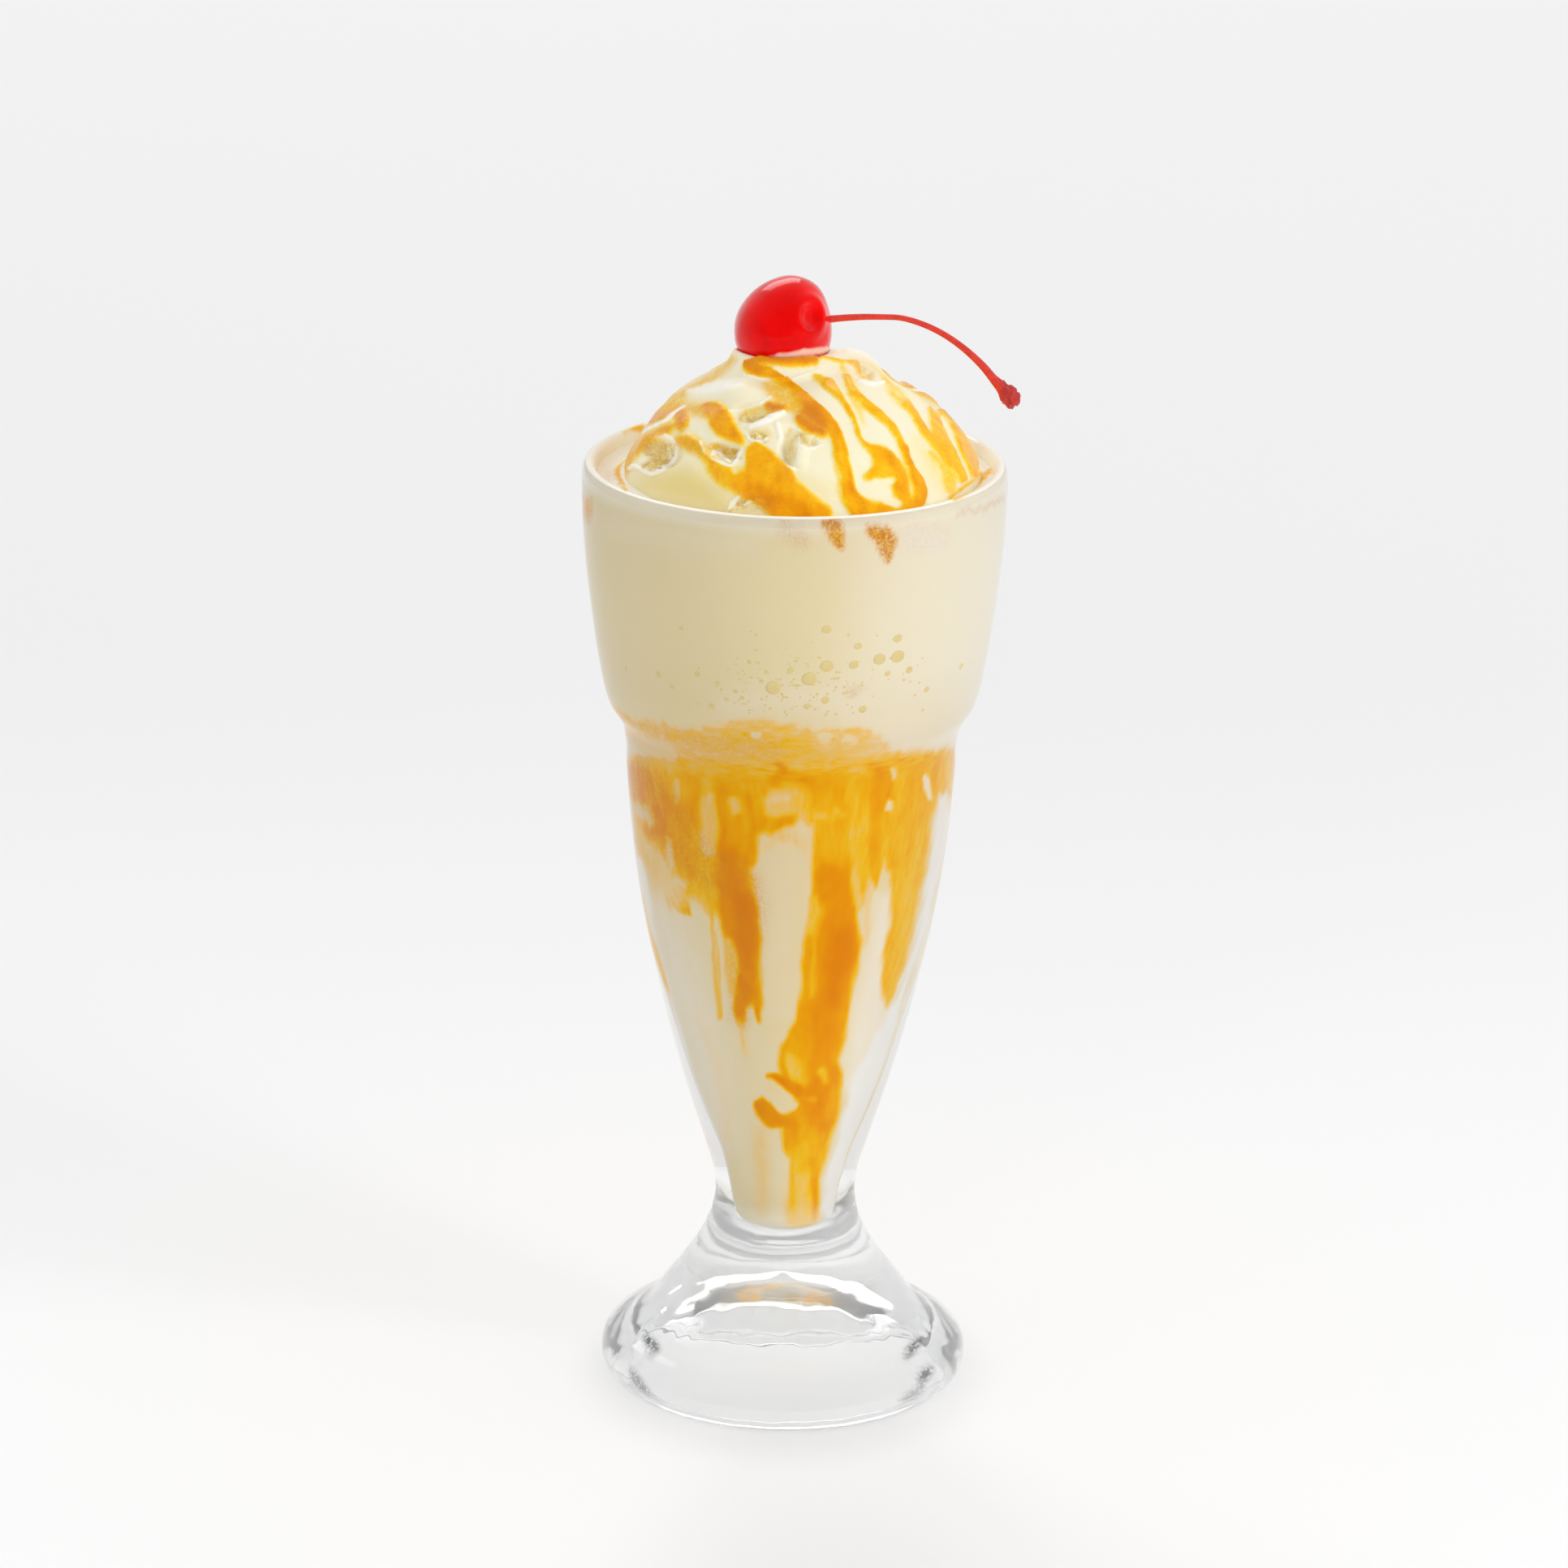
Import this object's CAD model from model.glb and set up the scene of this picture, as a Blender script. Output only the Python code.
"""Looks of a vanilla milkshake in its footed soda glass, with ice cream, caramel and a cherry.

Named sizes are millimetres and become metres where a mesh is made. Places named in pixels are
where something shows in the 1932 x 1932 photograph, which the camera here repeats, so that a
run of caramel is laid on the surface that shows at its pixels. The back of the drink, of the
scoop and of the foot carry the same runs, turned half round.
"""

import math

import bmesh
import bpy
import numpy as np
from mathutils import Matrix, Vector, noise


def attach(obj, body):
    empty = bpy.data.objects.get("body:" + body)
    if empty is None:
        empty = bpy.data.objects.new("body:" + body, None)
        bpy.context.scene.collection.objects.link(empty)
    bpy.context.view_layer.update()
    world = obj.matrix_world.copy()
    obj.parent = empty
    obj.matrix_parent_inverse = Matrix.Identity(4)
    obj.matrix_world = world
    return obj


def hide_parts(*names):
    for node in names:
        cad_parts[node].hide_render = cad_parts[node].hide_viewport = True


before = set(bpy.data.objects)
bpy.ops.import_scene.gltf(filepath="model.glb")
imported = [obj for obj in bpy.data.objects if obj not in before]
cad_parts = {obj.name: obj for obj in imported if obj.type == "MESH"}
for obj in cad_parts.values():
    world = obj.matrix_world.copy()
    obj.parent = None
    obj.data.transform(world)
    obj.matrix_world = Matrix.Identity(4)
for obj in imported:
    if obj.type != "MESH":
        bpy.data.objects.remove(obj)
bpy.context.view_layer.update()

MM = 0.001

# Camera, as solved from the ovals of the rim and the foot
PHOTO_SIDE = 1932
LENS_PIXELS = 7820
PIXELS_PER_MM = 5.9
SENSOR_WIDTH = 36.0
CAMERA_AT = (-1.39, -1278.0, 553.0)
CAMERA_DOWN = math.radians(18.21)
CAMERA_ROLL = math.radians(0.786)

# Glass
GLASS_SIDES = 200
GLASS_SPACING = 0.95
GLASS_INDEX = 1.5
RIM_RADIUS = 44.5
RIM_LEVEL = 201.0
LIP_WALL = 3.1
LIP_RISE = 2.5
LIP_CENTRE = (RIM_RADIUS - LIP_WALL / 2, RIM_LEVEL)
LIP_STEPS = 20
CAVITY_BOTTOM = 33.6
CAVITY_MOUTH = RIM_RADIUS - LIP_WALL
CORNER_OUT = 4.5
CORNER_RADIUS = 2.2
CORNER_STEPS = 10
FOOT_REST = 37.6
UNDERSIDE = [(34.0, 0.0), (32.5, 3.0), (26.0, 9.0), (18.0, 14.5), (9.0, 18.5), (0.0, 20.2)]
HOLLOW_TOP = UNDERSIDE[-1][1]

# How far the pressed stem and foot are off round, and the spans of their broad and fine waves
FOOT_WAVER = 0.10
UNDERSIDE_WAVER = 0.35
UNEVEN_BELOW = (52.0, 38.0)
EVEN_WITHIN = (0.0, 6.0)
BROAD_WAVES = (9.0, 9.0, 16.0)
FINE_WAVES = (3.0, 3.0, 5.0)
FINE_WAVES_SHARE = 0.4

# Where the glass is clouded or shines: the height or radius at which that begins, and is full
STEM_CLOUD = 0.46
STEM_CLOUD_ABOVE = (20.0, 27.0)
STEM_CLOUD_BELOW = (44.0, 34.0)
FOOT_CLOUD = 0.14
FOOT_CLOUD_BELOW = (30.0, 24.0)
BEAD_SHINE_BELOW = (10.0, 7.0)
BEAD_SHINE_OUTSIDE = (34.0, 36.0)
LIP_SHINE_ABOVE = (RIM_LEVEL - 1.0, RIM_LEVEL + 0.5)

# Drink
DRINK_SIDES = 320
DRINK_SPACING = 0.68
INTO_WALL = 0.05
DRINK_LEVEL = 199.7
MOAT_WIDTH = 2.6
MOAT_CLIMB = 1.3
FILM_ENDS = 62
FILM_THICKNESS = 0.1
FILM_STEPS = 8
FILM_SPACING = 0.3
TOP_RINGS = (38.0, 37.4, 36.8, 36.2, 35.6, 35.0, 34.4, 32, 25, 12)
LOOK_THROUGH_ROUNDS = 3
LOOK_THROUGH_STEPS = 181
LOOK_THROUGH_REACH = 0.999

# How noise frays the edges of the runs, in pixels across and down, and how much less on the top
DRINK_FRAY = (3.0, 6.0)
DRINK_FRAY_SPAN = (1.8, 1.8, 6.0)
TOP_FRAY_SHARE = 0.4

# Degrees from the front at which the back's runs, or the back's whiter cream, have taken over,
# and at which they begin
RUNS_TURN = (104.0, 92.0)
RUNS_TURN_WAVER = 5.0
RUNS_TURN_SPAN = 9.0
WHITE_TURN = (140.0, 92.0)

# How white the drink is near its top and over the lip, and where its sauce falls in streaks
TOP_WHITE = 0.3
TOP_WHITE_DEPTH = 1.5
LIP_WHITE = 0.4
LIP_WHITE_LEVEL = 201.2
STREAKS_BELOW = (146.0, 141.0)
WET = 0.5
WETTER_ABOVE = (201.0, 202.5)

# Scoop. A pair named FACING, FADE or EDGE says where something begins and where it is full: by
# how far a place faces the viewer or faces up, or by its distance from a middle or an edge.
SCOOP_SIDES = 440
SCOOP_RINGS = 205
UNDERSIDE_RINGS = 12
SCOOP_BASE = 200.0
SCOOP_SINK = 0.5
SCOOP_HEIGHT = 25.2
SCOOP_REACH = {"right": 39.3, "back": 38.4, "left": 35.8, "front": 39.6}
SCOOP_FLATNESS = 2.5
SCOOP_SHOULDER = 0.8
VIEW_TILT = math.radians(16.0)
UNEVENNESS = 0.8
UNEVENNESS_SPAN = 12.0
RELIEF_FACING = (0.05, 0.35)
RUNS_FACING = (-0.12, 0.08)
FOOT_FADE = (0.0, 0.12)
SINK_FADE = (0.25, 0.0)
PIT_EDGE = (0.3, 1.15)
SWELL_EDGE = (0.1, 1.3)
SCOOP_FRAY = 0.9
SCOOP_FRAY_SPAN = 1.5
SAUCE_THICKNESS = 0.7
SAUCE_EDGE = (0.15, 0.75)
SAUCE_LOST_IN_PITS = 0.6
ROUGH_SPAN = 0.9
FINE_ROUGH_SPAN = 0.45
FINE_ROUGH_SHARE = 0.6
COARSE_SPAN = 2.2
RIDGE_COARSENESS = 0.5
RIDGE_HEIGHT = 0.8
PIT_ROUGHNESS = 0.5
PIT_COARSENESS = 0.7
CREAM_ROUGHNESS = 0.05
SKIRT_BACK = 0.9
SKIRT_FRONT = 3.0
SKIRT_LEFT = 1.8
SKIRT_FADE = (0.2, 4.6)
SEAT_GAP = 0.2

# Cherry and stem
CHERRY_CENTRE = np.array((-2.9, 1.0, 231.0))
CHERRY_RADIUS = 10.2
CHERRY_TOP = 11.7
CHERRY_BOTTOM = 10.0
CHERRY_LEAN = 1.7
DIMPLE_AT = (5.6, -7.1, 4.6)
DIMPLE_RADIUS = 3.6
DIMPLE_DEPTH = 1.3
DIMPLE_HOLLOW = (1.0, 0.15)
DIMPLE_RING = 0.35
DIMPLE_RING_INSIDE = (0.55, 0.85)
DIMPLE_RING_OUTSIDE = (1.5, 1.0)
CHERRY_FINENESS = 7
CHERRY_UNEVENNESS = 0.10
CHERRY_UNEVENNESS_SPAN = 4.0
CHERRY_FRAY = 3.0
CHERRY_FRAY_SPAN = 1.6
CHERRY_FILM = {
    "shore": (0.85, 2.5, [
        (948, 443, 3), (962, 440, 3.5), (975, 438, 4), (992, 435, 4), (1008, 433, 4), (1020, 431, 3)]),
}
STEM = [
    # across, back, height, half thickness
    (5.2, 0.6, 233.6, 0.80),
    (8.0, 0.5, 234.0, 0.72),
    (12.0, 0.3, 234.4, 0.66),
    (17.0, 0.0, 234.6, 0.60),
    (21.6, -0.3, 234.5, 0.58),
    (25.5, -0.6, 233.5, 0.60),
    (29.1, -0.9, 232.0, 0.62),
    (33.2, -1.2, 229.5, 0.66),
    (36.2, -1.4, 227.1, 0.72),
    (38.8, -1.6, 224.6, 0.80),
    (41.1, -1.8, 221.9, 0.95),
    (42.7, -1.9, 220.3, 1.35),
    (43.9, -2.0, 219.0, 1.95),
    (44.9, -2.0, 217.6, 1.75),
    (45.6, -2.0, 216.6, 1.00),
]
STEM_SIDES = 28
STEM_SPACING = 0.35
STEM_FLUTES = 5
FLUTE_DEPTH = 0.07
TIP_FROM = 41.5
TIP_LENGTH = 2.0
TIP_TATTER = 0.45
TATTER_LENGTH = 1.5
TATTER_SPAN = 0.9
FINE_TATTER_SPAN = 0.4
FINE_TATTER_SHARE = 0.6

# Stage, in metres and watts
FLOOR_SIZE = 9.0
FLOOR_NEAR = (0.955, 0.955, 0.96)
FLOOR_FAR = (0.845, 0.845, 0.85)
FLOOR_FADE = (-0.15, 0.55)
FLOOR_SHADE = (0.76, 0.76, 0.775)
FLOOR_SHADES = [
    # centre, reach, share of the reach at full strength, strength
    ((0.012, -0.125), (0.055, 0.085), 0.15, 0.3),
    ((0.0, -0.006), (0.050, 0.056), 0.6, 0.5),
]
LAMPS = [
    # name, place, size, power, whether it shows in the glass
    ("key", (2.9, -1.7, 1.8), (1.8, 1.8), 44.0, False),
    ("fill", (-0.8, -3.4, 0.9), (1.8, 1.4), 25.0, False),
    ("window", (-0.7, 3.4, 3.4), (3.6, 2.0), 58.0, True),
]
LAMPS_AIM = (0.0, 0.0, 0.12)
SKY_LIGHT = 0.76
SKY_LIGHT_BY_CAMERA = 0.44
SKY_FADE = (0.3, 0.75)

# Colours of the glass
CLEAR_GLASS = (0.985, 0.992, 0.99)
GLASS_GLINT = (0.1, 0.1, 0.1)
GLASS_CLOUD = (0.81, 0.82, 0.82)
GLASS_DARK = (0.003, 0.006, 0.008)

# Colours of the drink, and its caramel from none to the thickest
CARAMEL_STOPS = [
    (0.0, (0.885, 0.775, 0.51)),
    (0.18, (0.93, 0.71, 0.36)),
    (0.36, (0.95, 0.62, 0.16)),
    (0.52, (0.98, 0.59, 0.02)),
    (0.66, (0.97, 0.49, 0.002)),
    (0.82, (0.93, 0.36, 0.001)),
    (1.0, (0.86, 0.265, 0.001)),
]
YELLOW_CLOUD = (0.84, 0.72, 0.40)
WHITE_CREAM = (0.97, 0.93, 0.84)
RUST = (0.66, 0.22, 0.035)
PALE_MARGIN = (0.96, 0.96, 0.95)
BUBBLE_DEEP = (0.82, 0.66, 0.29)
BUBBLE_PALE = (0.88, 0.74, 0.40)

# Colours of the scoop, and its caramel from none to the thickest
SCOOP_STOPS = [
    (0.0, (0.94, 0.87, 0.64)),
    (0.15, (0.96, 0.83, 0.48)),
    (0.30, (0.97, 0.74, 0.22)),
    (0.45, (0.99, 0.62, 0.015)),
    (0.62, (0.96, 0.46, 0.0)),
    (0.80, (0.86, 0.33, 0.0)),
    (1.0, (0.70, 0.21, 0.0)),
]
BROWN_CARAMEL = (0.62, 0.20, 0.04)
SHADED_CREAM = (0.84, 0.70, 0.30)
ICY_DEEP = (0.74, 0.47, 0.03)
ICY_PALE = (0.98, 0.88, 0.56)
RIDGE_CREAM = (1.0, 0.97, 0.88)

# Colours of the cherry and its stem
CHERRY_STOPS = [(0.3, (0.72, 0.0, 0.0)), (0.7, (0.88, 0.001, 0.001))]
MELT_ON_CHERRY = (0.97, 0.68, 0.58)
STEM_STOPS = [(0.3, (0.60, 0.012, 0.004)), (0.7, (0.78, 0.03, 0.006))]
STEM_TIP = (0.42, 0.008, 0.006)

# The scoop's broad relief, as the solid has it: across and up in millimetres from the rim's
# centre, looking down at VIEW_TILT
PITS = [
    # across, up, half width, half height, depth
    (-27.6, 3.5, 4.4, 3.5, 3.4),
    (-14.3, 4.4, 3.2, 2.3, 2.6),
    (-9.2, 11.6, 4.4, 1.9, 2.6),
    (-1.7, 4.2, 2.0, 3.6, 2.6),
    (14.5, 20.6, 2.0, 1.8, 1.8),
    (-9.2, -6.7, 4.8, 2.0, 1.3),
    (-24.0, 16.0, 9.0, 6.0, 1.3),
]
SWELLS = [
    # across, up, half width, half height, height
    (-12.0, 15.6, 7.2, 2.6, 1.7),
    (-5.0, 9.0, 4.2, 1.7, 1.3),
    (1.4, 3.8, 1.5, 3.8, 1.1),
    (-21.0, 0.0, 4.0, 3.0, 0.8),
]

# Pixels between the points of a run's line once it is smoothed
RUN_SPACING = 6.0

# Lines that are both caramel and brown
LIP_DRIP = [(1017, 646, 4), (1028, 650, 10), (1032, 662, 8), (1036, 674, 4)]
LIP_WEDGE = [(1070, 655, 4), (1080, 658, 9), (1090, 664, 12), (1092, 680, 8), (1093, 690, 4)]
LEFT_BLOT = [(784, 556, 3), (791, 551, 5), (799, 546, 4)]
DARK_SPOT = [(948, 501, 5), (956, 505, 6), (966, 505, 3)]

# Runs of caramel: how strong each is, how soft its edge is in pixels, and its line as
# (pixel across, pixel down, half width in pixels). A later run covers an earlier one, and a run
# of low strength is cream over caramel.
WALL_SAUCE = {
    "upper sheet": (0.60, 10, [
        (765, 962, 28), (830, 965, 32), (900, 970, 36), (980, 964, 32), (1060, 970, 40), (1120, 966, 40),
        (1180, 957, 36)]),
    "left wash": (0.74, 10, [(800, 990, 24), (840, 1030, 38), (872, 1060, 36), (890, 1075, 20)]),
    "left wash's end": (0.55, 9, [(850, 1080, 24), (868, 1100, 14), (880, 1120, 6)]),
    "middle wash": (0.78, 9, [(896, 990, 22), (902, 1030, 19), (905, 1080, 14)]),
    "right wash": (0.60, 9, [(1090, 985, 32), (1100, 1015, 38), (1112, 1045, 30), (1118, 1075, 16)]),
    "amber wash": (0.54, 8, [(1058, 980, 18), (1062, 1030, 15), (1063, 1075, 10), (1061, 1115, 4)]),
    "collar band": (0.36, 5, [
        (748, 872, 9), (775, 893, 12), (815, 908, 17), (862, 917, 20), (905, 913, 26), (955, 915, 25),
        (1010, 918, 20), (1060, 916, 18), (1088, 920, 8)]),
    "band's shade": (0.45, 9, [(905, 905, 8), (950, 918, 11), (1000, 921, 10)]),
    "band's foot": (0.50, 8, [(860, 942, 5), (920, 946, 7), (990, 948, 7), (1060, 945, 5)]),
    "left brown": (0.74, 8, [(778, 950, 14), (796, 965, 18), (812, 982, 10)]),
    "left brown's top": (0.64, 8, [(822, 938, 5), (836, 948, 8), (850, 965, 8)]),
    "left dark": (0.72, 7, [(826, 985, 7), (832, 1020, 11), (843, 1050, 12), (852, 1072, 8)]),
    "left finger": (0.82, 4, [(813, 1000, 8), (816, 1025, 7), (818, 1048, 5), (818, 1058, 2)]),
    "left dash": (0.66, 5, [(856, 975, 4), (858, 1010, 5), (858, 1040, 5)]),
    "left patch": (0.78, 4, [(820, 1096, 4), (830, 1105, 8), (843, 1116, 8), (849, 1124, 4)]),
    "middle dark": (0.82, 7, [(924, 985, 8), (926, 1020, 8), (925, 1060, 10)]),
    "left column": (0.86, 8, [
        (902, 1060, 16), (906, 1090, 23), (910, 1120, 25), (915, 1148, 22), (921, 1170, 17),
        (924, 1195, 14), (924, 1222, 15)]),
    "left column's heart": (1.0, 8, [(916, 1110, 10), (919, 1140, 13), (922, 1160, 12), (922, 1190, 6)]),
    "left leg": (0.86, 4, [(914, 1215, 10), (913, 1238, 8), (913, 1258, 5)]),
    "right leg": (0.80, 4, [(932, 1215, 9), (936, 1238, 6), (938, 1258, 3)]),
    "leg's trail": (0.34, 6, [(914, 1262, 4), (917, 1280, 4), (921, 1300, 2)]),
    "upper bright": (0.58, 8, [
        (920, 952, 8), (960, 952, 14), (1010, 960, 24), (1055, 962, 22), (1080, 952, 8)]),
    "upper edge": (0.46, 7, [(790, 940, 6), (860, 944, 8), (930, 942, 7), (1000, 944, 6), (1060, 944, 6)]),
    "dark spot one": (0.86, 6, [(960, 944, 5), (965, 948, 5)]),
    "dark spot two": (0.86, 6, [(957, 962, 7), (970, 964, 5)]),
    "dark spot three": (0.80, 7, [(990, 962, 7), (1001, 973, 7), (1004, 985, 4)]),
    "main column's top": (0.67, 8, [(1024, 975, 20), (1025, 1010, 24), (1025, 1068, 25)]),
    "main column": (0.74, 6, [
        (1025, 1082, 24), (1026, 1100, 26), (1028, 1128, 27), (1025, 1157, 34), (1021, 1185, 33),
        (1018, 1212, 31), (1015, 1231, 31), (1012, 1250, 32), (1009, 1268, 32), (1003, 1286, 35),
        (997, 1300, 37), (996, 1314, 37), (1003, 1327, 33), (1005, 1342, 30), (1006, 1360, 27),
        (1003, 1377, 27), (994, 1390, 30), (992, 1405, 28), (995, 1419, 24), (994, 1433, 19)]),
    "main column's heart": (0.88, 10, [
        (1024, 1078, 14), (1028, 1100, 18), (1032, 1130, 18), (1036, 1165, 22), (1030, 1200, 22),
        (1020, 1240, 18), (1012, 1275, 16), (1010, 1330, 14), (1006, 1380, 14)]),
    "heart's middle": (1.0, 9, [(1038, 1156, 12), (1040, 1175, 13), (1030, 1200, 9), (1026, 1235, 8)]),
    "column's light edge": (0.50, 5, [(1003, 1108, 5), (1004, 1128, 7), (998, 1145, 5)]),
    "column's line": (0.58, 3, [(1003, 1150, 2), (1002, 1190, 2), (1000, 1228, 2)]),
    "tail's top": (0.62, 8, [(993, 1425, 20), (991, 1446, 19)]),
    "main column's tail": (0.42, 9, [(989, 1466, 19), (987, 1482, 20), (988, 1502, 20)]),
    "tail's right streak": (0.74, 4, [(1002, 1430, 7), (1003, 1455, 5), (1003, 1480, 4), (1004, 1502, 4)]),
    "tail's left streak": (0.60, 4, [(980, 1430, 5), (976, 1455, 4), (976, 1490, 3)]),
    "light fork": (0.50, 6, [(975, 1308, 8), (982, 1322, 10), (990, 1332, 6)]),
    "light fleck": (0.56, 4, [(1012, 1322, 6), (1017, 1330, 4)]),
    "small fleck": (0.60, 4, [(998, 1356, 4), (1003, 1357, 3)]),
    "hook": (0.90, 3, [(947, 1324, 2), (957, 1328, 4), (968, 1335, 6), (982, 1343, 9)]),
    "hook's end": (0.84, 4, [(936, 1362, 8), (943, 1371, 12), (958, 1379, 11), (975, 1385, 9)]),
    "notch": (0.06, 4, [(950, 1338, 6), (958, 1346, 7)]),
    "hole": (0.05, 3, [(962, 1360, 4), (971, 1363, 5), (979, 1364, 4)]),
    "right dark": (0.76, 7, [(1082, 950, 9), (1090, 970, 12), (1078, 1000, 9), (1076, 1030, 7)]),
    "right tip": (0.74, 4, [(1078, 1020, 7), (1079, 1055, 8), (1078, 1080, 6), (1078, 1096, 2)]),
    "right column": (0.56, 7, [
        (1122, 1030, 20), (1118, 1060, 21), (1114, 1090, 19), (1110, 1120, 17), (1104, 1150, 17),
        (1100, 1180, 15), (1094, 1208, 12), (1092, 1236, 4)]),
    "far right dark": (0.60, 6, [
        (1150, 936, 10), (1160, 945, 12), (1150, 975, 8), (1140, 1010, 8), (1132, 1045, 8)]),
    "far right line": (0.50, 4, [(1171, 930, 5), (1168, 955, 4), (1160, 985, 3)]),
    "finger's frame": (0.70, 7, [
        (936, 1000, 5), (942, 978, 6), (955, 963, 6), (975, 962, 6), (992, 985, 6), (999, 1010, 6)]),
    "finger's blob": (0.15, 12, [(948, 990, 5), (962, 981, 10), (980, 984, 9)]),
    "finger's side": (0.50, 6, [(985, 985, 7), (990, 1005, 6)]),
    "cross band": (0.74, 8, [(934, 1014, 11), (952, 1016, 12), (974, 1010, 9)]),
    "finger's top": (0.26, 9, [(956, 1046, 13), (970, 1038, 16), (984, 1040, 10)]),
    "finger": (0.04, 5, [
        (966, 1062, 24), (966, 1082, 30), (965, 1100, 30), (965, 1128, 26), (964, 1168, 23),
        (963, 1210, 21), (961, 1240, 19), (955, 1275, 15)]),
    "pale streak": (0.30, 6, [(873, 985, 7), (874, 1010, 10), (874, 1035, 11), (874, 1050, 8)]),
    "thin pale streak": (0.26, 4, [(834, 964, 3), (835, 978, 4), (835, 990, 2)]),
    "left notch": (0.12, 5, [(780, 992, 6), (793, 1001, 8), (804, 1012, 5)]),
    "left bay": (0.05, 6, [(783, 1035, 9), (800, 1060, 14), (812, 1080, 13), (806, 1115, 12)]),
    "left mottle": (0.22, 14, [(800, 1050, 14), (815, 1085, 16), (835, 1110, 12)]),
    "left edge film": (0.42, 7, [(784, 1016, 5), (789, 1038, 6), (795, 1060, 4)]),
    "left slit": (0.16, 3, [(824, 1030, 2), (826, 1050, 4), (830, 1068, 4)]),
    "left pale patch": (0.14, 4, [(832, 1084, 4), (845, 1090, 4)]),
    "right wedge": (0.06, 5, [(1090, 1076, 4), (1087, 1100, 7), (1086, 1128, 9)]),
    "right strip": (0.06, 5, [
        (1082, 1140, 13), (1074, 1165, 12), (1069, 1190, 11), (1066, 1215, 13), (1060, 1250, 14)]),
    "strip's streak": (0.28, 4, [(1071, 1100, 3), (1068, 1130, 3), (1064, 1165, 2)]),
    "oval one": (0.46, 4, [(1007, 1006, 4), (1016, 1006, 4)]),
    "oval two": (0.46, 4, [(1033, 998, 4), (1038, 1005, 4)]),
    "oval three": (0.34, 5, [(904, 988, 6), (908, 998, 6)]),
    "white drop one": (0.05, 2, [(1096, 986, 3), (1095, 996, 4)]),
    "white drop two": (0.03, 2, [(1139, 957, 3), (1143, 970, 4), (1146, 983, 2)]),
    "white drop three": (0.2, 3, [(1100, 948, 3), (1101, 958, 3)]),
    "collar eye one": (0.1, 3, [(1012, 908, 6), (1018, 909, 6)]),
    "collar eye two": (0.14, 3, [(1042, 912, 5), (1053, 914, 4)]),
    "collar glint": (0.0, 2, [(928, 905, 3), (936, 905, 3)]),
    "collar cream": (0.12, 6, [(792, 915, 8), (812, 918, 10), (828, 930, 6)]),
    "thin line": (0.50, 2.5, [
        (877, 1112, 1.8), (879, 1145, 2.2), (881, 1180, 1.8), (884, 1215, 2.4), (889, 1255, 2)]),
    "thin line's pair": (0.42, 2.5, [(884, 1150, 1.5), (886, 1190, 2), (889, 1250, 1.5)]),
    "strip by the column": (0.36, 5, [(899, 1160, 6), (900, 1190, 7), (903, 1222, 5)]),
    "lower wash": (0.22, 8, [(938, 1395, 8), (940, 1440, 9), (940, 1490, 8)]),
    "lower left wash": (0.12, 8, [(860, 1250, 6), (882, 1300, 8), (900, 1400, 7)]),
    "lip drip": (0.44, 5, LIP_DRIP),
    "lip wedge": (0.44, 5, LIP_WEDGE),
    "left lip smear": (0.55, 4, [(722, 618, 5), (723, 634, 5)]),
}

# Where the drink is browner or pinker than caramel, as runs again
WALL_RUST = {
    "lip drip": (0.85, 4, LIP_DRIP),
    "lip wedge": (0.95, 4, LIP_WEDGE),
    "left side": (0.36, 14, [
        (785, 955, 20), (820, 1000, 26), (850, 1050, 26), (915, 1100, 26), (918, 1180, 16),
        (914, 1250, 12)]),
    "band": (0.16, 12, [(790, 900, 14), (850, 915, 16), (950, 922, 14)]),
    "left outline": (0.30, 3, [
        (785, 1055, 1.5), (796, 1125, 2), (809, 1190, 2), (828, 1260, 2), (846, 1325, 2), (868, 1392, 2),
        (876, 1420, 1)]),
    "right outline": (0.35, 2.5, [(1163, 960, 2), (1161, 1010, 2), (1156, 1060, 2), (1149, 1100, 2)]),
    "left haze": (0.26, 9, [(968, 652, 10), (985, 664, 12)]),
    "right haze": (0.16, 12, [(1128, 662, 18), (1152, 664, 16)]),
    "right lip line": (0.35, 3, [(1180, 634, 2), (1205, 628, 3), (1225, 620, 3), (1236, 612, 3)]),
    "left lip smear": (0.5, 5, [(722, 616, 6), (723, 640, 6)]),
    "smudge": (0.3, 6, [(1049, 853, 6), (1058, 850, 4)]),
}

# Where a pale margin shows beside the drink
WALL_PALE = {
    "right haze": (0.30, 14, [(1128, 662, 14), (1152, 668, 12)]),
    "right margin": (0.9, 5, [
        (1163, 985, 8), (1158, 1030, 9), (1150, 1075, 9), (1145, 1115, 11), (1139, 1150, 13),
        (1129, 1190, 14), (1115, 1225, 14), (1100, 1260, 15), (1085, 1295, 16), (1068, 1330, 17),
        (1056, 1365, 17), (1048, 1400, 17), (1036, 1440, 17), (1028, 1490, 17)]),
    "left margin": (0.75, 4, [
        (789, 1060, 5), (795, 1100, 7), (803, 1150, 8), (812, 1195, 9), (826, 1250, 9), (842, 1310, 9),
        (858, 1360, 9), (874, 1400, 9), (886, 1440, 8), (893, 1485, 8)]),
}

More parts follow.
